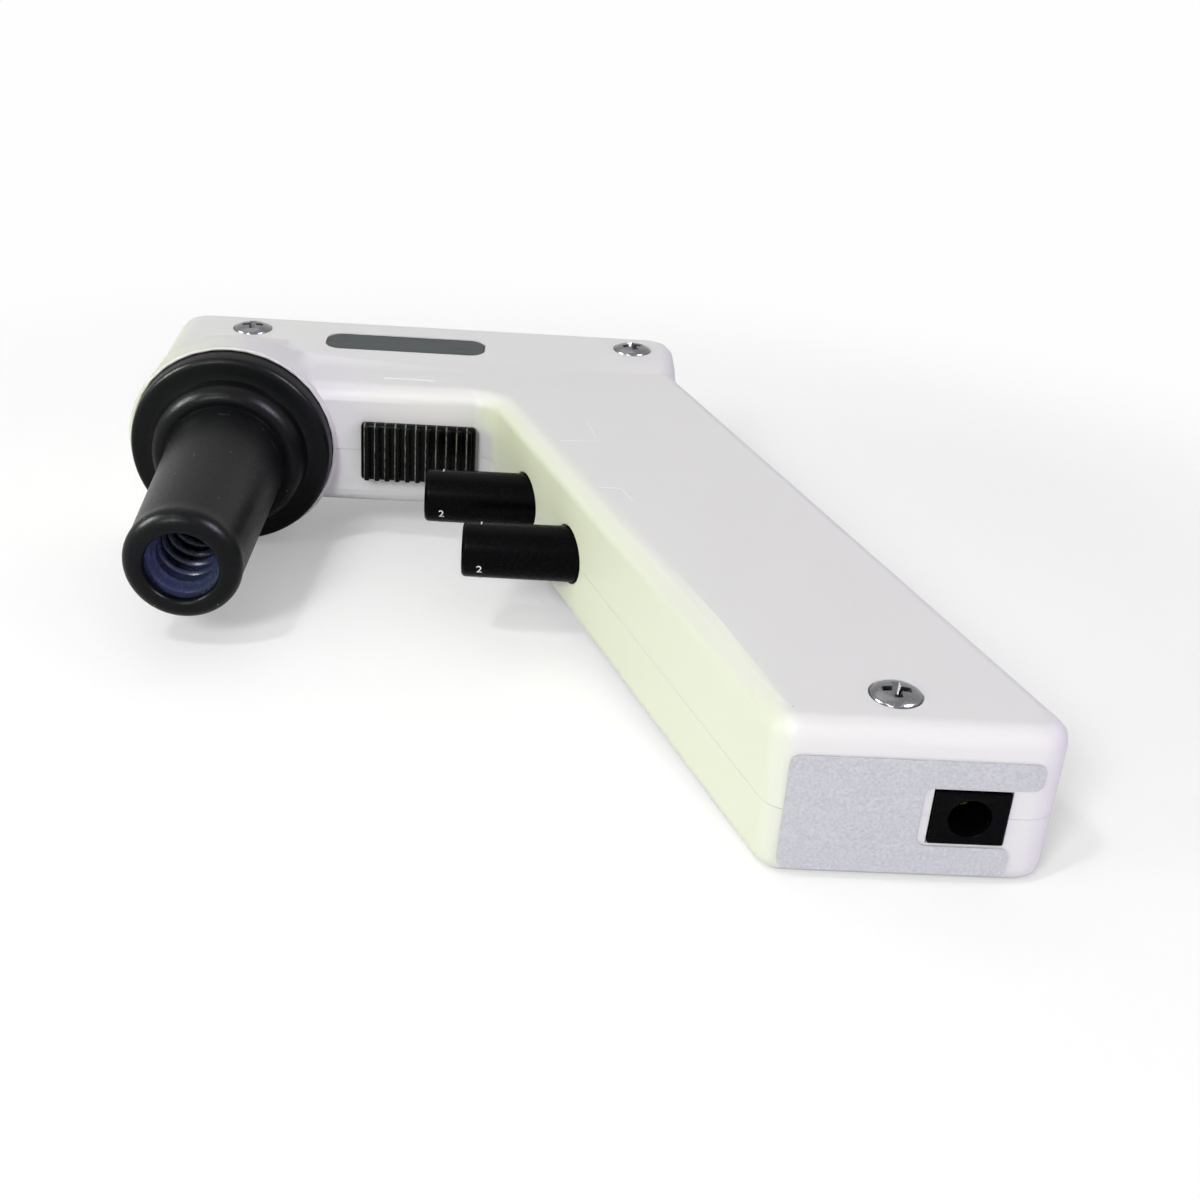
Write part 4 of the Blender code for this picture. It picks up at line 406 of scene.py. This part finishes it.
# Half the gap between the two halves: as cut, and as fine as the real parting line
PARTING = 0.15
SEAM = 0.035
# Collar's dome, and the bore in it that the nose's socket sits in
DOME_FOOT = UPPER_HALF + 0.01
BORE_RADIUS = 19.0
BORE_FRONT_Y = 127.0
BORE_LEAST = 17.25
# The shoulder is eased in full within so many degrees of the top, and not at all beyond so many
EASED_WITHIN = 28.0
AS_CUT_BEYOND = 50.0
# Radius of the dome at stations behind the nose: as cut, and with its shoulder eased
DOME = ((116.2, 20.6, 20.6), (130.0, 19.9, 17.7), (131.6, 19.3, 17.1), (136.84, 17.05, 14.9),
        (139.4, 14.2, 12.9), (141.0, 11.36, 10.6), (141.4, 0.0, 0.0))


def ease_dome(vertex):
    """Let the collar's top and the bore in it fall away sooner towards the screw behind."""
    x, y, z = vertex.co.x - NOSE_X, vertex.co.y, vertex.co.z
    for (y0, r0, s0), (y1, r1, s1) in zip(DOME, DOME[1:]):
        if y0 <= y <= y1 and z > UPPER_HALF + 0.25:
            share = (y - y0) / (y1 - y0)
            cut = r0 + (r1 - r0) * share
            eased = s0 + (s1 - s0) * share
            reach = math.hypot(x, z)
            bore_end = y > BORE_FRONT_Y and abs(reach - BORE_RADIUS) < 0.1
            if abs(reach - cut) < 0.15 or bore_end:
                lean = math.degrees(math.atan2(abs(x), z))
                fade = min(max((AS_CUT_BEYOND - lean) / (AS_CUT_BEYOND - EASED_WITHIN), 0.0), 1.0)
                new = reach - (cut - eased) * fade
                new = max(new, BORE_LEAST) if bore_end else new
                vertex.co.x = NOSE_X + x * new / reach
                vertex.co.z = max(z * new / reach, DOME_FOOT)
            return


# Round along the trigger side of the handle: the stations of its profile as shares of its radius,
# in from the side and down from the top
STATIONS = ((0.0, 1.0), (0.134, 0.5), (0.5, 0.134), (1.0, 0.0))
# Where it is cut across, so that it can widen along a curve
EDGE_CUTS = (6.0, 8.5, 12.0, 18.0, 30.0, 45.0, 60.0, 75.0, 90.0, 100.0, 106.0)
EDGE_START_Y = 4.3
EDGE_FADE_Y = 98.0
EDGE_END_Y = 111.0
# How much wider it is at the base, and how much flatter in the middle
WIDENING = 0.35
FLATTENING = 0.6


def edge_station(vertex):
    """Which station of the round a vertex lies on, or None."""
    x, y, z = vertex.co
    inward = (x - BASE_LEFT_X + LEAN * y) * math.cos(HANDLE_SLANT)
    below = upper_level(y) - z
    for index, (across, down) in enumerate(STATIONS):
        if abs(inward - EDGE_RADIUS * across) < 0.05 and abs(below - EDGE_RADIUS * down) < 0.05:
            return index
    return None


def smooth_step(value, start, end):
    """Rise from 0 at the start to 1 at the end, level at both."""
    share = min(max((value - start) / (end - start), 0.0), 1.0)
    return share * share * (3.0 - 2.0 * share)


def soften_grip_edge(shape):
    """Flatten the round towards a soft bevel that widens to the base, and fade both out at its
    ends."""
    for cut in EDGE_CUTS:
        strips = [face for face in shape.faces
                  if min(v.co.y for v in face.verts) < cut < max(v.co.y for v in face.verts)
                  and all(edge_station(v) is not None for v in face.verts)]
        parts = {v for f in strips for v in f.verts} | {e for f in strips for e in f.edges}
        bmesh.ops.bisect_plane(shape, geom=list(parts) + strips, dist=1e-4,
                               plane_co=(0.0, cut, 0.0), plane_no=(0.0, 1.0, 0.0))
    for vertex in shape.verts:
        y = vertex.co.y
        station = edge_station(vertex) if EDGE_START_Y + 0.2 < y < EDGE_END_Y else None
        if station is None:
            continue
        flat = FLATTENING * smooth_step(y, EDGE_START_Y, 18.0)
        flat *= 1.0 - smooth_step(y, EDGE_FADE_Y, EDGE_END_Y)
        wider = WIDENING * smooth_step(y, EDGE_START_Y, 16.0) * (1.0 - smooth_step(y, 45.0, 90.0))
        wide = EDGE_RADIUS * (1.0 + wider)
        across, down = STATIONS[station]
        if station in (1, 2):
            across, down = [v + (0.28 if v > 0.3 else -0.034) * flat for v in (across, down)]
        moved = across * wide - STATIONS[station][0] * EDGE_RADIUS
        vertex.co.x += moved * math.cos(HANDLE_SLANT)
        vertex.co.y += moved * math.sin(HANDLE_SLANT)
        vertex.co.z = upper_level(vertex.co.y) - down * wide


for node, way in (("upper_housing", 1.0), ("lower_housing", -1.0)):
    shape = traced(node)
    bmesh.ops.dissolve_limit(shape, angle_limit=math.radians(0.2), verts=shape.verts,
                             edges=shape.edges)
    for vertex in shape.verts:
        if abs(vertex.co.z - way * PARTING) < 0.01:
            vertex.co.z = way * SEAM
        elif node == "upper_housing":
            ease_dome(vertex)
    if node == "upper_housing":
        soften_grip_edge(shape)
    shell = settle(shape, node + "_skin", housing_abs, "housing", angle=42.0)
    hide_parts(node)
    even_shading(shell)


# Socket that the nose screws into: tapered to the rear, so that it stays under the eased dome
SOCKET_TAPER = 0.88
shape = traced("nose_socket")
for vertex in shape.verts:
    across = vertex.co.x - NOSE_X
    up = vertex.co.z
    if vertex.co.y > 122.0 and math.hypot(across, up) > 17.0:
        vertex.co.x = NOSE_X + across * SOCKET_TAPER
        vertex.co.z = up * SOCKET_TAPER
socket = settle(shape, "nose_socket_skin", white_acetal, "housing")
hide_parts("nose_socket")


def ridge(name, points, width, height, sink=0.05):
    """A fine raised line on the upper face through plan points, like a mark cut in the tool."""
    shape = bmesh.new()
    for (x0, y0), (x1, y1) in zip(points, points[1:]):
        length = math.hypot(x1 - x0, y1 - y0)
        angle = math.atan2(y1 - y0, x1 - x0)
        middle = ((x0 + x1) / 2, (y0 + y1) / 2)
        top = upper_level(middle[1])
        turn_by = Matrix.Rotation(angle, 4, 'Z')
        block(shape, (middle[0] - (length + width) / 2, middle[1] - width / 2, top - sink),
              (middle[0] + (length + width) / 2, middle[1] + width / 2, top + height),
              soft=0.4 * width, segments=2, turned_by=turn_by)
    # The ridge's paler finish is a painted highlight.
    piece = settle(shape, name, index_crest_highlight_abs, "housing")


ridge("slide_index_line", [(-94.4, 122.3), (-84.4, 122.3), (-85.4, 121.7)], 0.3, 0.08)
ridge("fill_index_line", [(-59.3, 95.1), (-52.1, 95.6), (-53.9, 105.0)], 0.22, 0.04)
ridge("dispense_index_line", [(-52.2, 74.9), (-48.5, 75.0), (-46.4, 69.5)], 0.22, 0.04)

# Nose
TIP_Y = 62.6
TIP_RADIUS = 10.4
TIP_ROUND = 2.6
NOSE_MOUTH = 6.5
NOSE_BORE = 8.6
BEAD_RADIUS = 12.4
BEAD_HEIGHT = 2.75
BEAD_HALF_LENGTH = 4.0
FLANGE_RADIUS = 19.7
FLANGE_ROUND = 1.3
FLANGE_RIM = 3.7
FLANGE_REAR_Y = 115.5
FLANGE_SEAT_Y = 118.9
SPIGOT_RADIUS = 15.0
SPIGOT_END_Y = 123.5
FILTER_BAY = 13.0
flange_front = FLANGE_REAR_Y - FLANGE_RIM
bay_end = flange_front - 0.6
# The mouth's lip rolls over to the tube, which has a slight waist behind it.
profile = [(NOSE_MOUTH, TIP_Y + 0.9), (6.62, TIP_Y + 0.45), (6.9, TIP_Y + 0.12)]
profile += arc((TIP_RADIUS - TIP_ROUND, TIP_Y + TIP_ROUND), TIP_ROUND, -100, -4, 14)
profile += [(10.38, TIP_Y + 3.1), (10.31, TIP_Y + 3.8), (10.25, TIP_Y + 4.8), (10.27, TIP_Y + 6.0)]
# The tube swells into a broad bead, and a soft valley parts that from the flange's rolled edge.
profile += [(11.3, flange_front - 8.0), (11.36, flange_front - 5.8), (11.46, flange_front - 4.9),
            (11.66, flange_front - 4.45)]
profile += [(BEAD_RADIUS - BEAD_HEIGHT * math.cos(math.radians(degrees)),
             flange_front - 0.5 - BEAD_HALF_LENGTH * math.sin(math.radians(degrees)))
            for degrees in range(80, 177, 8)]
profile += [(15.3, flange_front - 0.12), (15.7, flange_front), (17.0, flange_front + 0.02)]
profile += arc((FLANGE_RADIUS - 0.15 - FLANGE_ROUND, flange_front + FLANGE_ROUND + 0.02),
               FLANGE_ROUND, -90, -6, 8)
profile += [(19.62, flange_front + 1.7), (FLANGE_RADIUS, flange_front + 2.4),
            (FLANGE_RADIUS, FLANGE_SEAT_Y), (SPIGOT_RADIUS, FLANGE_SEAT_Y),
            (SPIGOT_RADIUS, SPIGOT_END_Y), (FILTER_BAY, SPIGOT_END_Y), (FILTER_BAY, bay_end),
            (NOSE_BORE, bay_end - 3.0), (NOSE_BORE, TIP_Y + 2.8), (NOSE_MOUTH, TIP_Y + 1.6)]
shape = bmesh.new()
turned(shape, profile, 'Y', (NOSE_X, 0.0), steps=128, ring=True)
nose = settle(shape, "nose_cone_skin", nose_rubber, "nose", angle=40.0)
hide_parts("nose_cone")

# Three small witness marks that the mould's cores leave round the root of the tube
for count, degrees in enumerate((4.0, -68.0, 62.0)):
    shape = bmesh.new()
    block(shape, (-1.3, 103.9, 11.1), (1.3, 104.5, 11.52), soft=0.2)
    bmesh.ops.transform(shape, matrix=Matrix.Translation((NOSE_X, 0.0, 0.0))
                        @ Matrix.Rotation(math.radians(degrees), 4, 'Y'), verts=shape.verts)
    mark = settle(shape, "nose_mould_mark_%d" % (count + 1), nose_rubber, "nose")

# Grip: a sleeve with five soft lips, each a little tighter than the one in front
LIP_COUNT = 5
LIP_PITCH = 3.4
FIRST_LIP_RADIUS = 5.3
LIP_STEP = 0.26
GRIP_RADIUS = 8.4
AIR_HOLE = 2.4
front = TIP_Y + 3.1
back = bay_end - 2.9
profile = [(GRIP_RADIUS, front + 0.3), (GRIP_RADIUS, back), (AIR_HOLE, back),
           (AIR_HOLE, back - 4.0), (4.2, back - 6.0)]
for index in reversed(range(LIP_COUNT)):
    lip_y = front + 1.7 + index * LIP_PITCH
    lip = FIRST_LIP_RADIUS - index * LIP_STEP
    profile += [(5.8 - index * 0.1, lip_y + 1.7), (lip + 0.25, lip_y + 0.95),
                (lip + 0.04, lip_y + 0.75), (lip, lip_y + 0.6), (lip + 0.1, lip_y + 0.42),
                (5.75 - index * 0.1, lip_y + 0.1)]
profile += [(5.85, front + 1.2), (6.1, front + 0.3), (6.35, front), (8.1, front)]
shape = bmesh.new()
turned(shape, profile, 'Y', (NOSE_X, 0.0), steps=64, ring=True)
grip = settle(shape, "pipette_grip_skin", grip_silicone, "nose_core", angle=50.0)
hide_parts("pipette_insert")

# Triggers with numbered dials
FILL_Y = 97.1
DISPENSE_Y = 75.5
TRIGGER_RADIUS = 5.1
TRIGGER_DRAFT = 0.12
TRIGGER_ROUND = 0.9
TRIGGER_REACH = 21.0
TRIGGER_COLLAR = 1.3
TRIGGER_COLLAR_LENGTH = 1.5
SHANK_RADIUS = 1.8
SHANK_LENGTH = 8.0
RUNNING_GAP = 0.35
WALL = 2.1
# Numbers round the dial: their height, how thick the ink is, how deep it is set and the angles
# in degrees that they stand at, from the top
NUMBER_HEIGHT = 2.3
INK = 0.012
INK_SET = 0.02
NUMBER_ANGLES = (352, 108, 160, 205, 250, 300)


def trigger_stations(y):
    """Where a trigger's tip, the front of its collar and the back of its collar lie along X."""
    tip = BASE_LEFT_X - LEAN * y - TRIGGER_REACH + TRIGGER_RADIUS * LEAN
    edge = y - TRIGGER_RADIUS - RUNNING_GAP - TRIGGER_COLLAR
    collar = BASE_LEFT_X - LEAN * edge + WALL / math.cos(HANDLE_SLANT) + SEAT_GAP
    return tip, collar, collar + TRIGGER_COLLAR_LENGTH


def numeral(text, x, y, angle, name, body):
    """A printed number wrapped on a dial, upright along the axis, at an angle round from the top."""
    curve = bpy.data.curves.new(name, 'FONT')
    curve.body = text
    curve.size = NUMBER_HEIGHT
    curve.align_x = 'CENTER'
    curve.align_y = 'CENTER'
    curve.extrude = INK
    curve.resolution_u = 3
    letter = linked(name + "_curve", curve)
    shape = baked(letter)
    bpy.data.objects.remove(letter, do_unlink=True)
    bmesh.ops.remove_doubles(shape, verts=shape.verts, dist=1e-4)
    bmesh.ops.triangulate(shape, faces=shape.faces)
    for vertex in shape.verts:
        along, around, out = vertex.co
        reach = TRIGGER_RADIUS - INK_SET + out
        phi = angle - around / TRIGGER_RADIUS
        vertex.co = (x + along, y - reach * math.sin(phi), reach * math.cos(phi))
    piece = settle(shape, name, dial_ink, body, angle=20.0)


for label, y in (("fill", FILL_Y), ("dispense", DISPENSE_Y)):
    tip, collar, collar_back = trigger_stations(y)
    rim = TRIGGER_RADIUS + TRIGGER_COLLAR
    shank_end = collar_back - SHANK_LENGTH
    profile = [(0.0, tip), (3.4, tip + 0.02)]
    profile += arc((TRIGGER_RADIUS - TRIGGER_DRAFT - TRIGGER_ROUND, tip + TRIGGER_ROUND),
                   TRIGGER_ROUND, -84, 0, 8)
    profile += [(TRIGGER_RADIUS, collar - 1.0), (TRIGGER_RADIUS, collar), (rim, collar),
                (rim, collar_back), (SHANK_RADIUS, collar_back), (SHANK_RADIUS, shank_end),
                (0.0, shank_end)]
    shape = bmesh.new()
    turned(shape, profile, 'X', (y, 0.0), steps=72)
    cap = settle(shape, label + "_trigger_skin", trigger_acetal, label + "_dial", angle=38.0)
    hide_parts(label + "_trigger")
    for count, degrees in enumerate(NUMBER_ANGLES, start=1):
        numeral(str(count), tip + 3.3, y, math.radians(degrees),
                "%s_dial_number_%d" % (label, count), label + "_dial")

# Return springs: copies of the solids, each with a mesh of its own
for label in ("fill", "dispense"):
    spring = settle(traced(label + "_spring"), label + "_spring_wire", spring_steel, "housing",
                    angle=60.0)
    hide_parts(label + "_spring")
    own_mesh(spring)

# Mode slide
SLIDE_X = -87.0
SLIDE_Z = 0.5
SLIDE_LENGTH = 22.8
SLIDE_HEIGHT = 12.1
SLIDE_PROUD = 3.4
SLIDE_RIBS = 11
GROOVE_DEPTH = 0.95
NECK_LENGTH = 9.0
NECK_HEIGHT = 4.0
half_long = SLIDE_LENGTH / 2
front_y = HEAD_FRONT_Y - SLIDE_PROUD
low_z = SLIDE_Z - SLIDE_HEIGHT / 2
high_z = SLIDE_Z + SLIDE_HEIGHT / 2
shape = bmesh.new()
block(shape, (SLIDE_X - half_long, front_y + GROOVE_DEPTH, low_z),
      (SLIDE_X + half_long, HEAD_FRONT_Y - SEAT_GAP, high_z), soft=0.7)
pitch = SLIDE_LENGTH / (SLIDE_RIBS + 0.25)
for index in range(SLIDE_RIBS):
    x = SLIDE_X + (index - (SLIDE_RIBS - 1) / 2) * pitch
    block(shape, (x - 0.27 * pitch, front_y, low_z + 0.25),
          (x + 0.27 * pitch, front_y + 1.6, high_z - 0.25), soft=0.3)
block(shape, (SLIDE_X - NECK_LENGTH / 2, HEAD_FRONT_Y - 1.0, SLIDE_Z - NECK_HEIGHT / 2),
      (SLIDE_X + NECK_LENGTH / 2, HEAD_FRONT_Y + 2.4, SLIDE_Z + NECK_HEIGHT / 2))
# Ribbed nylon of the slide, with a painted highlight: a pale line on one edge of each rib
slide_nylon = grained("slide_nylon_painted_glints", "#050606", "#030404", (0.18, 0.30), 0.4, 0.010,
                      cloud=6.0, IOR=1.5, Specular_IOR_Level=0.07)
# The pale lines along the ribs are a painted highlight, standing for the glint on each rib's edge.
first_edge = REST @ Vector((SLIDE_X - 0.25 * pitch, 0.0, 0.0))
rubbed(slide_nylon, "#63655f", first_edge.x * 1000.0, pitch, 0.30)
slide = settle(shape, "mode_slide_skin", slide_nylon, "mode_switch_slide", angle=40.0)
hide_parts("mode_slide")

# Screws
HEAD_RADIUS = 3.85
HEAD_DOME = 1.2
SHAFT_RADIUS = 1.4
SHAFT_LENGTH = 17.6
SLOT_REACH = 2.6
SLOT_HALF_WIDTH = 0.75
SLOT_TAPER = 0.42


def closed(shape, name):
    """An object of a shape that is ready for a cut: merged, with its faces pointing out."""
    bmesh.ops.remove_doubles(shape, verts=shape.verts, dist=1e-4)
    bmesh.ops.recalc_face_normals(shape, faces=shape.faces)
    return linked(name, mesh_of(shape, name))


def plain_screw(x, y, seat):
    """A screw with a domed pan head, before its recess is cut."""
    profile = [(0.0, seat + 0.7 + HEAD_DOME)]
    profile += [(HEAD_RADIUS * math.sin(math.radians(degrees)),
                 seat + 0.7 + HEAD_DOME * math.cos(math.radians(degrees)))
                for degrees in (12, 24, 36, 48, 60, 70, 80, 90)]
    profile += [(HEAD_RADIUS, seat + 0.25), (3.6, seat), (SHAFT_RADIUS, seat),
                (SHAFT_RADIUS, seat - SHAFT_LENGTH), (0.0, seat - SHAFT_LENGTH - 1.4)]
    shape = bmesh.new()
    turned(shape, profile, 'Z', (x, y), steps=64)
    return closed(shape, "plain_screw")


def slot_cutter(x, y, low, degrees):
    """One arm of the cross recess, which narrows to its floor."""
    shape = bmesh.new()
    block(shape, (x - SLOT_REACH, y - SLOT_HALF_WIDTH, low),
          (x + SLOT_REACH, y + SLOT_HALF_WIDTH, low + 2.2),
          turned_by=Matrix.Rotation(math.radians(degrees), 4, 'Z'))
    for vertex in shape.verts:
        if vertex.co.z < low + 1.0:
            vertex.co.x = x + (vertex.co.x - x) * SLOT_TAPER
            vertex.co.y = y + (vertex.co.y - y) * SLOT_TAPER
    return closed(shape, "slot_cutter")


for name, x, y, quarter in (("screw_nose_end", NOSE_X, 143.0, 4.0),
                            ("screw_back_corner", -44.0, 143.0, 16.0),
                            ("screw_base_end", -11.2, 9.0, -2.0)):
    seat = (UPPER_HALF if y > PAD_FRONT_Y else upper_level(y)) - 0.9
    plain = plain_screw(x, y, seat)
    cutters = [slot_cutter(x, y, seat + 0.2, degrees) for degrees in (quarter, quarter + 90.0)]
    for cutter in cutters:
        cut = plain.modifiers.new("slot", 'BOOLEAN')
        cut.operation = 'DIFFERENCE'
        cut.solver = 'EXACT'
        cut.object = cutter
    shape = baked(plain)
    for spare in (plain, *cutters):
        bpy.data.objects.remove(spare, do_unlink=True)
    screw = settle(shape, name + "_skin", plated_steel, "housing", angle=35.0)
    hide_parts(name)


# Softened copies
def softened(node, finish, width):
    """A copy of a CAD node with its sharp edges rounded as a mould or a press leaves them."""
    shape = traced(node)
    bmesh.ops.dissolve_limit(shape, angle_limit=math.radians(1.0), verts=shape.verts,
                             edges=shape.edges)
    piece = settle(shape, node + "_skin", finish, "housing", angle=35.0)
    soft = piece.modifiers.new("soft edges", 'BEVEL')
    soft.width = width / 1000.0
    soft.segments = 2
    soft.limit_method = 'ANGLE'
    soft.angle_limit = math.radians(60.0)
    soft.harden_normals = True
    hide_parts(node)


softened("dc_jack", trigger_acetal, 0.25)
softened("badge_plate", badge_lacquer, 0.12)

# Finishes of the carried-over nodes
FINISHES = {
    "base_label": foil_label, "jack_pin": turned_brass, "pump_crank": turned_brass,
    "battery_cell_a": cell_jacket, "battery_cell_b": cell_jacket, "cell_link_strap": spring_steel,
    "charging_board": board_mask, "connecting_rod": white_acetal, "hose_manifold": white_acetal,
    "jack_lead": lead_pvc, "motor_lead_a": lead_pvc, "motor_lead_b": lead_pvc,
    "membrane_filter": filter_polypropylene, "mode_carriage": white_acetal,
    "mode_switch": black_nylon, "motor": motor_can, "motor_shaft": ground_steel,
    "nose_socket": white_acetal, "socket_seal": hose_silicone, "pump_body": black_nylon,
    "pump_diaphragm": seal_nitrile, "pump_head": white_acetal,
    "nose_hose": hose_silicone, "pressure_hose": hose_silicone, "vacuum_hose": hose_silicone,
    "fill_valve_hose": hose_silicone, "dispense_valve_hose": hose_silicone,
    "fill_spring": spring_steel, "dispense_spring": spring_steel,
    "fill_switch": black_nylon, "dispense_switch": black_nylon,
    "fill_switch_lever": spring_steel, "dispense_switch_lever": spring_steel,
    "fill_valve_body": white_acetal, "dispense_valve_body": white_acetal,
    "fill_valve_seal": seal_nitrile, "dispense_valve_seal": seal_nitrile,
    "fill_valve_stem": ground_steel, "dispense_valve_stem": ground_steel,
    "upper_housing": housing_abs, "lower_housing": housing_abs, "nose_cone": nose_rubber,
    "pipette_insert": grip_silicone, "fill_trigger": trigger_acetal,
    "dispense_trigger": trigger_acetal, "mode_slide": black_nylon, "dc_jack": trigger_acetal,
    "badge_plate": badge_lacquer, "screw_nose_end": plated_steel,
    "screw_back_corner": plated_steel, "screw_base_end": plated_steel,
}
for node, finish in FINISHES.items():
    for socket in bpy.data.objects[node].material_slots:
        socket.material = finish

# Sheet that the object lies on
shape = bmesh.new()
bmesh.ops.create_grid(shape, x_segments=1, y_segments=1, size=4.0)
sheet = linked("sheet", mesh_of(shape, "sheet"))
# White card: matt, with a close fibre that shows only in its shade
white_card, tree, shader, place = begin("sheet_white_card", Roughness=0.9, Specular_IOR_Level=0.1)
fibre = add(tree, "TexNoise", {"Vector": place, "Scale": 900.0, "Detail": 2.0})
pale = add(tree, "Mix", {0: fibre.outputs["Fac"], 6: tint("#fbfbfb"), 7: tint("#f8f8f8")},
           data_type='RGBA')
tree.links.new(pale.outputs[2], shader.inputs["Base Color"])
# Far from the object the card is plain white to the eye, so that it has no horizon.
reach = add(tree, "VectorMath", {0: place}, operation='LENGTH')
far = add(tree, "MapRange", {"Value": reach.outputs["Value"], "From Min": 0.14, "From Max": 0.28,
                              "To Min": 0.25, "To Max": 1.0},
          interpolation_type='SMOOTHSTEP')
eye = add(tree, "LightPath")
white = add(tree, "Math", {0: far.outputs["Result"], 1: eye.outputs["Is Camera Ray"]},
            operation='MULTIPLY')
glow = add(tree, "Emission", {"Color": tint("#fefefe"), "Strength": 1.0})
blend = add(tree, "MixShader", {0: white.outputs[0], 1: shader.outputs[0], 2: glow.outputs[0]})
tree.links.new(blend.outputs[0], tree.nodes["Material Output"].inputs["Surface"])
sheet.data.materials.append(white_card)

# Light
world = bpy.data.worlds.new("studio")
bpy.context.scene.world = world
world.use_nodes = True
tree = world.node_tree
backdrop = tree.nodes["Background"]
backdrop.inputs["Color"].default_value = (1.0, 1.0, 1.0, 1.0)
# The eye, metal and glass see plain white, and the light that it casts is lower.
path = add(tree, "LightPath")
seen = add(tree, "Math", {0: path.outputs["Is Camera Ray"], 1: path.outputs["Is Glossy Ray"]},
           operation='MAXIMUM')
seen = add(tree, "Math", {0: seen.outputs[0], 1: path.outputs["Is Transmission Ray"]},
           operation='MAXIMUM')
level = add(tree, "MapRange", {"Value": seen.outputs[0], "To Min": 0.47, "To Max": 1.0})
tree.links.new(level.outputs["Result"], backdrop.inputs["Strength"])


def soft_box(name, centre, aim, size, power, colour=(1.0, 1.0, 1.0), reaches=None,
             glints=True, fills=True):
    """A square soft light at a world place in metres, turned towards a point.

    It reaches everything, or the given pieces alone. Without glints it isn't mirrored, and
    without fills it is only mirrored."""
    lamp = bpy.data.lights.new(name, 'AREA')
    lamp.shape = 'SQUARE'
    lamp.size = size
    lamp.energy = power
    lamp.color = colour
    holder = linked(name, lamp)
    holder.location = centre
    holder.rotation_euler = (Vector(aim) - Vector(centre)).to_track_quat('-Z', 'Y').to_euler()
    holder.visible_glossy = glints
    holder.visible_diffuse = holder.visible_transmission = fills
    if reaches:
        holder.light_linking.receiver_collection = reaches


# The coloured lamps light the object alone and one white lamp the card alone, so that the card
# stays neutral. The two sheens are mirrored in the nose and the screw heads alone.
whole = bpy.data.collections.new("object_pieces")
shiny = bpy.data.collections.new("shiny_pieces")
for piece in bpy.context.scene.objects:
    if piece.type == 'MESH' and piece != sheet:
        whole.objects.link(piece)
for name in ("nose_cone", "screw_nose_end", "screw_back_corner", "screw_base_end"):
    shiny.objects.link(bpy.data.objects[name + "_skin"])
card = bpy.data.collections.new("card")
card.objects.link(sheet)
ORIGIN = (0.0, 0.0, 0.0)
NOSE_MIDDLE = (-0.058, 0.03, 0.022)
LEFT_SIDE = (-0.9, -0.30, 0.20)
soft_box("front_box", (-0.50, -1.08, 0.72), ORIGIN, 0.30, 10.1)
soft_box("card_box", LEFT_SIDE, ORIGIN, 0.35, 2.8, reaches=card, glints=False)
soft_box("small_box", (-0.36, -0.42, 0.80), (-0.04, 0.02, 0.0), 0.10, 0.9)
soft_box("top_box", (-0.25, 0.45, 1.1), ORIGIN, 0.8, 1.4)
soft_box("left_box", LEFT_SIDE, ORIGIN, 0.35, 3.4, (0.78, 1.0, 0.0), reaches=whole, glints=False)
soft_box("right_box", (0.75, -0.65, 0.45), ORIGIN, 0.4, 4.2, (0.82, 0.60, 1.0), reaches=whole,
         glints=False)
soft_box("left_sheen", (-0.88, -0.11, 0.57), NOSE_MIDDLE, 0.34, 23.0, (0.95, 1.0, 0.94),
         reaches=shiny, fills=False)
soft_box("right_sheen", (0.60, -0.31, 0.68), NOSE_MIDDLE, 0.34, 15.0, (0.84, 0.80, 1.0),
         reaches=shiny, fills=False)

# Camera

# The camera's angles in radians, its place in the body frame, and its focal length in pixels of a
# square frame of 1200, as solved from the photograph
YAW = 0.0574483
PITCH = 0.5035739
ROLL = -0.0766144
EYE = (-65.9897, -191.2455, 138.0355)
FOCAL_PIXELS = 1662.151
FRAME_PIXELS = 1200.0
SENSOR_WIDTH = 36.0
ahead = Vector((math.sin(YAW) * math.cos(PITCH), math.cos(YAW) * math.cos(PITCH),
                -math.sin(PITCH)))
level_right = Vector((math.cos(YAW), -math.sin(YAW), 0.0))
level_down = ahead.cross(level_right)
right = math.cos(ROLL) * level_right + math.sin(ROLL) * level_down
down = -math.sin(ROLL) * level_right + math.cos(ROLL) * level_down
stand = Matrix((right, -down, -ahead)).transposed().to_4x4()
lens = bpy.data.cameras.new("camera")
lens.sensor_width = SENSOR_WIDTH
lens.lens = SENSOR_WIDTH * FOCAL_PIXELS / FRAME_PIXELS
lens.clip_start = 0.01
camera = linked("camera", lens)
camera.matrix_world = Matrix.Translation(REST @ Vector(EYE)) @ turn @ stand
bpy.context.scene.camera = camera
bpy.context.scene.view_settings.view_transform = 'Standard'
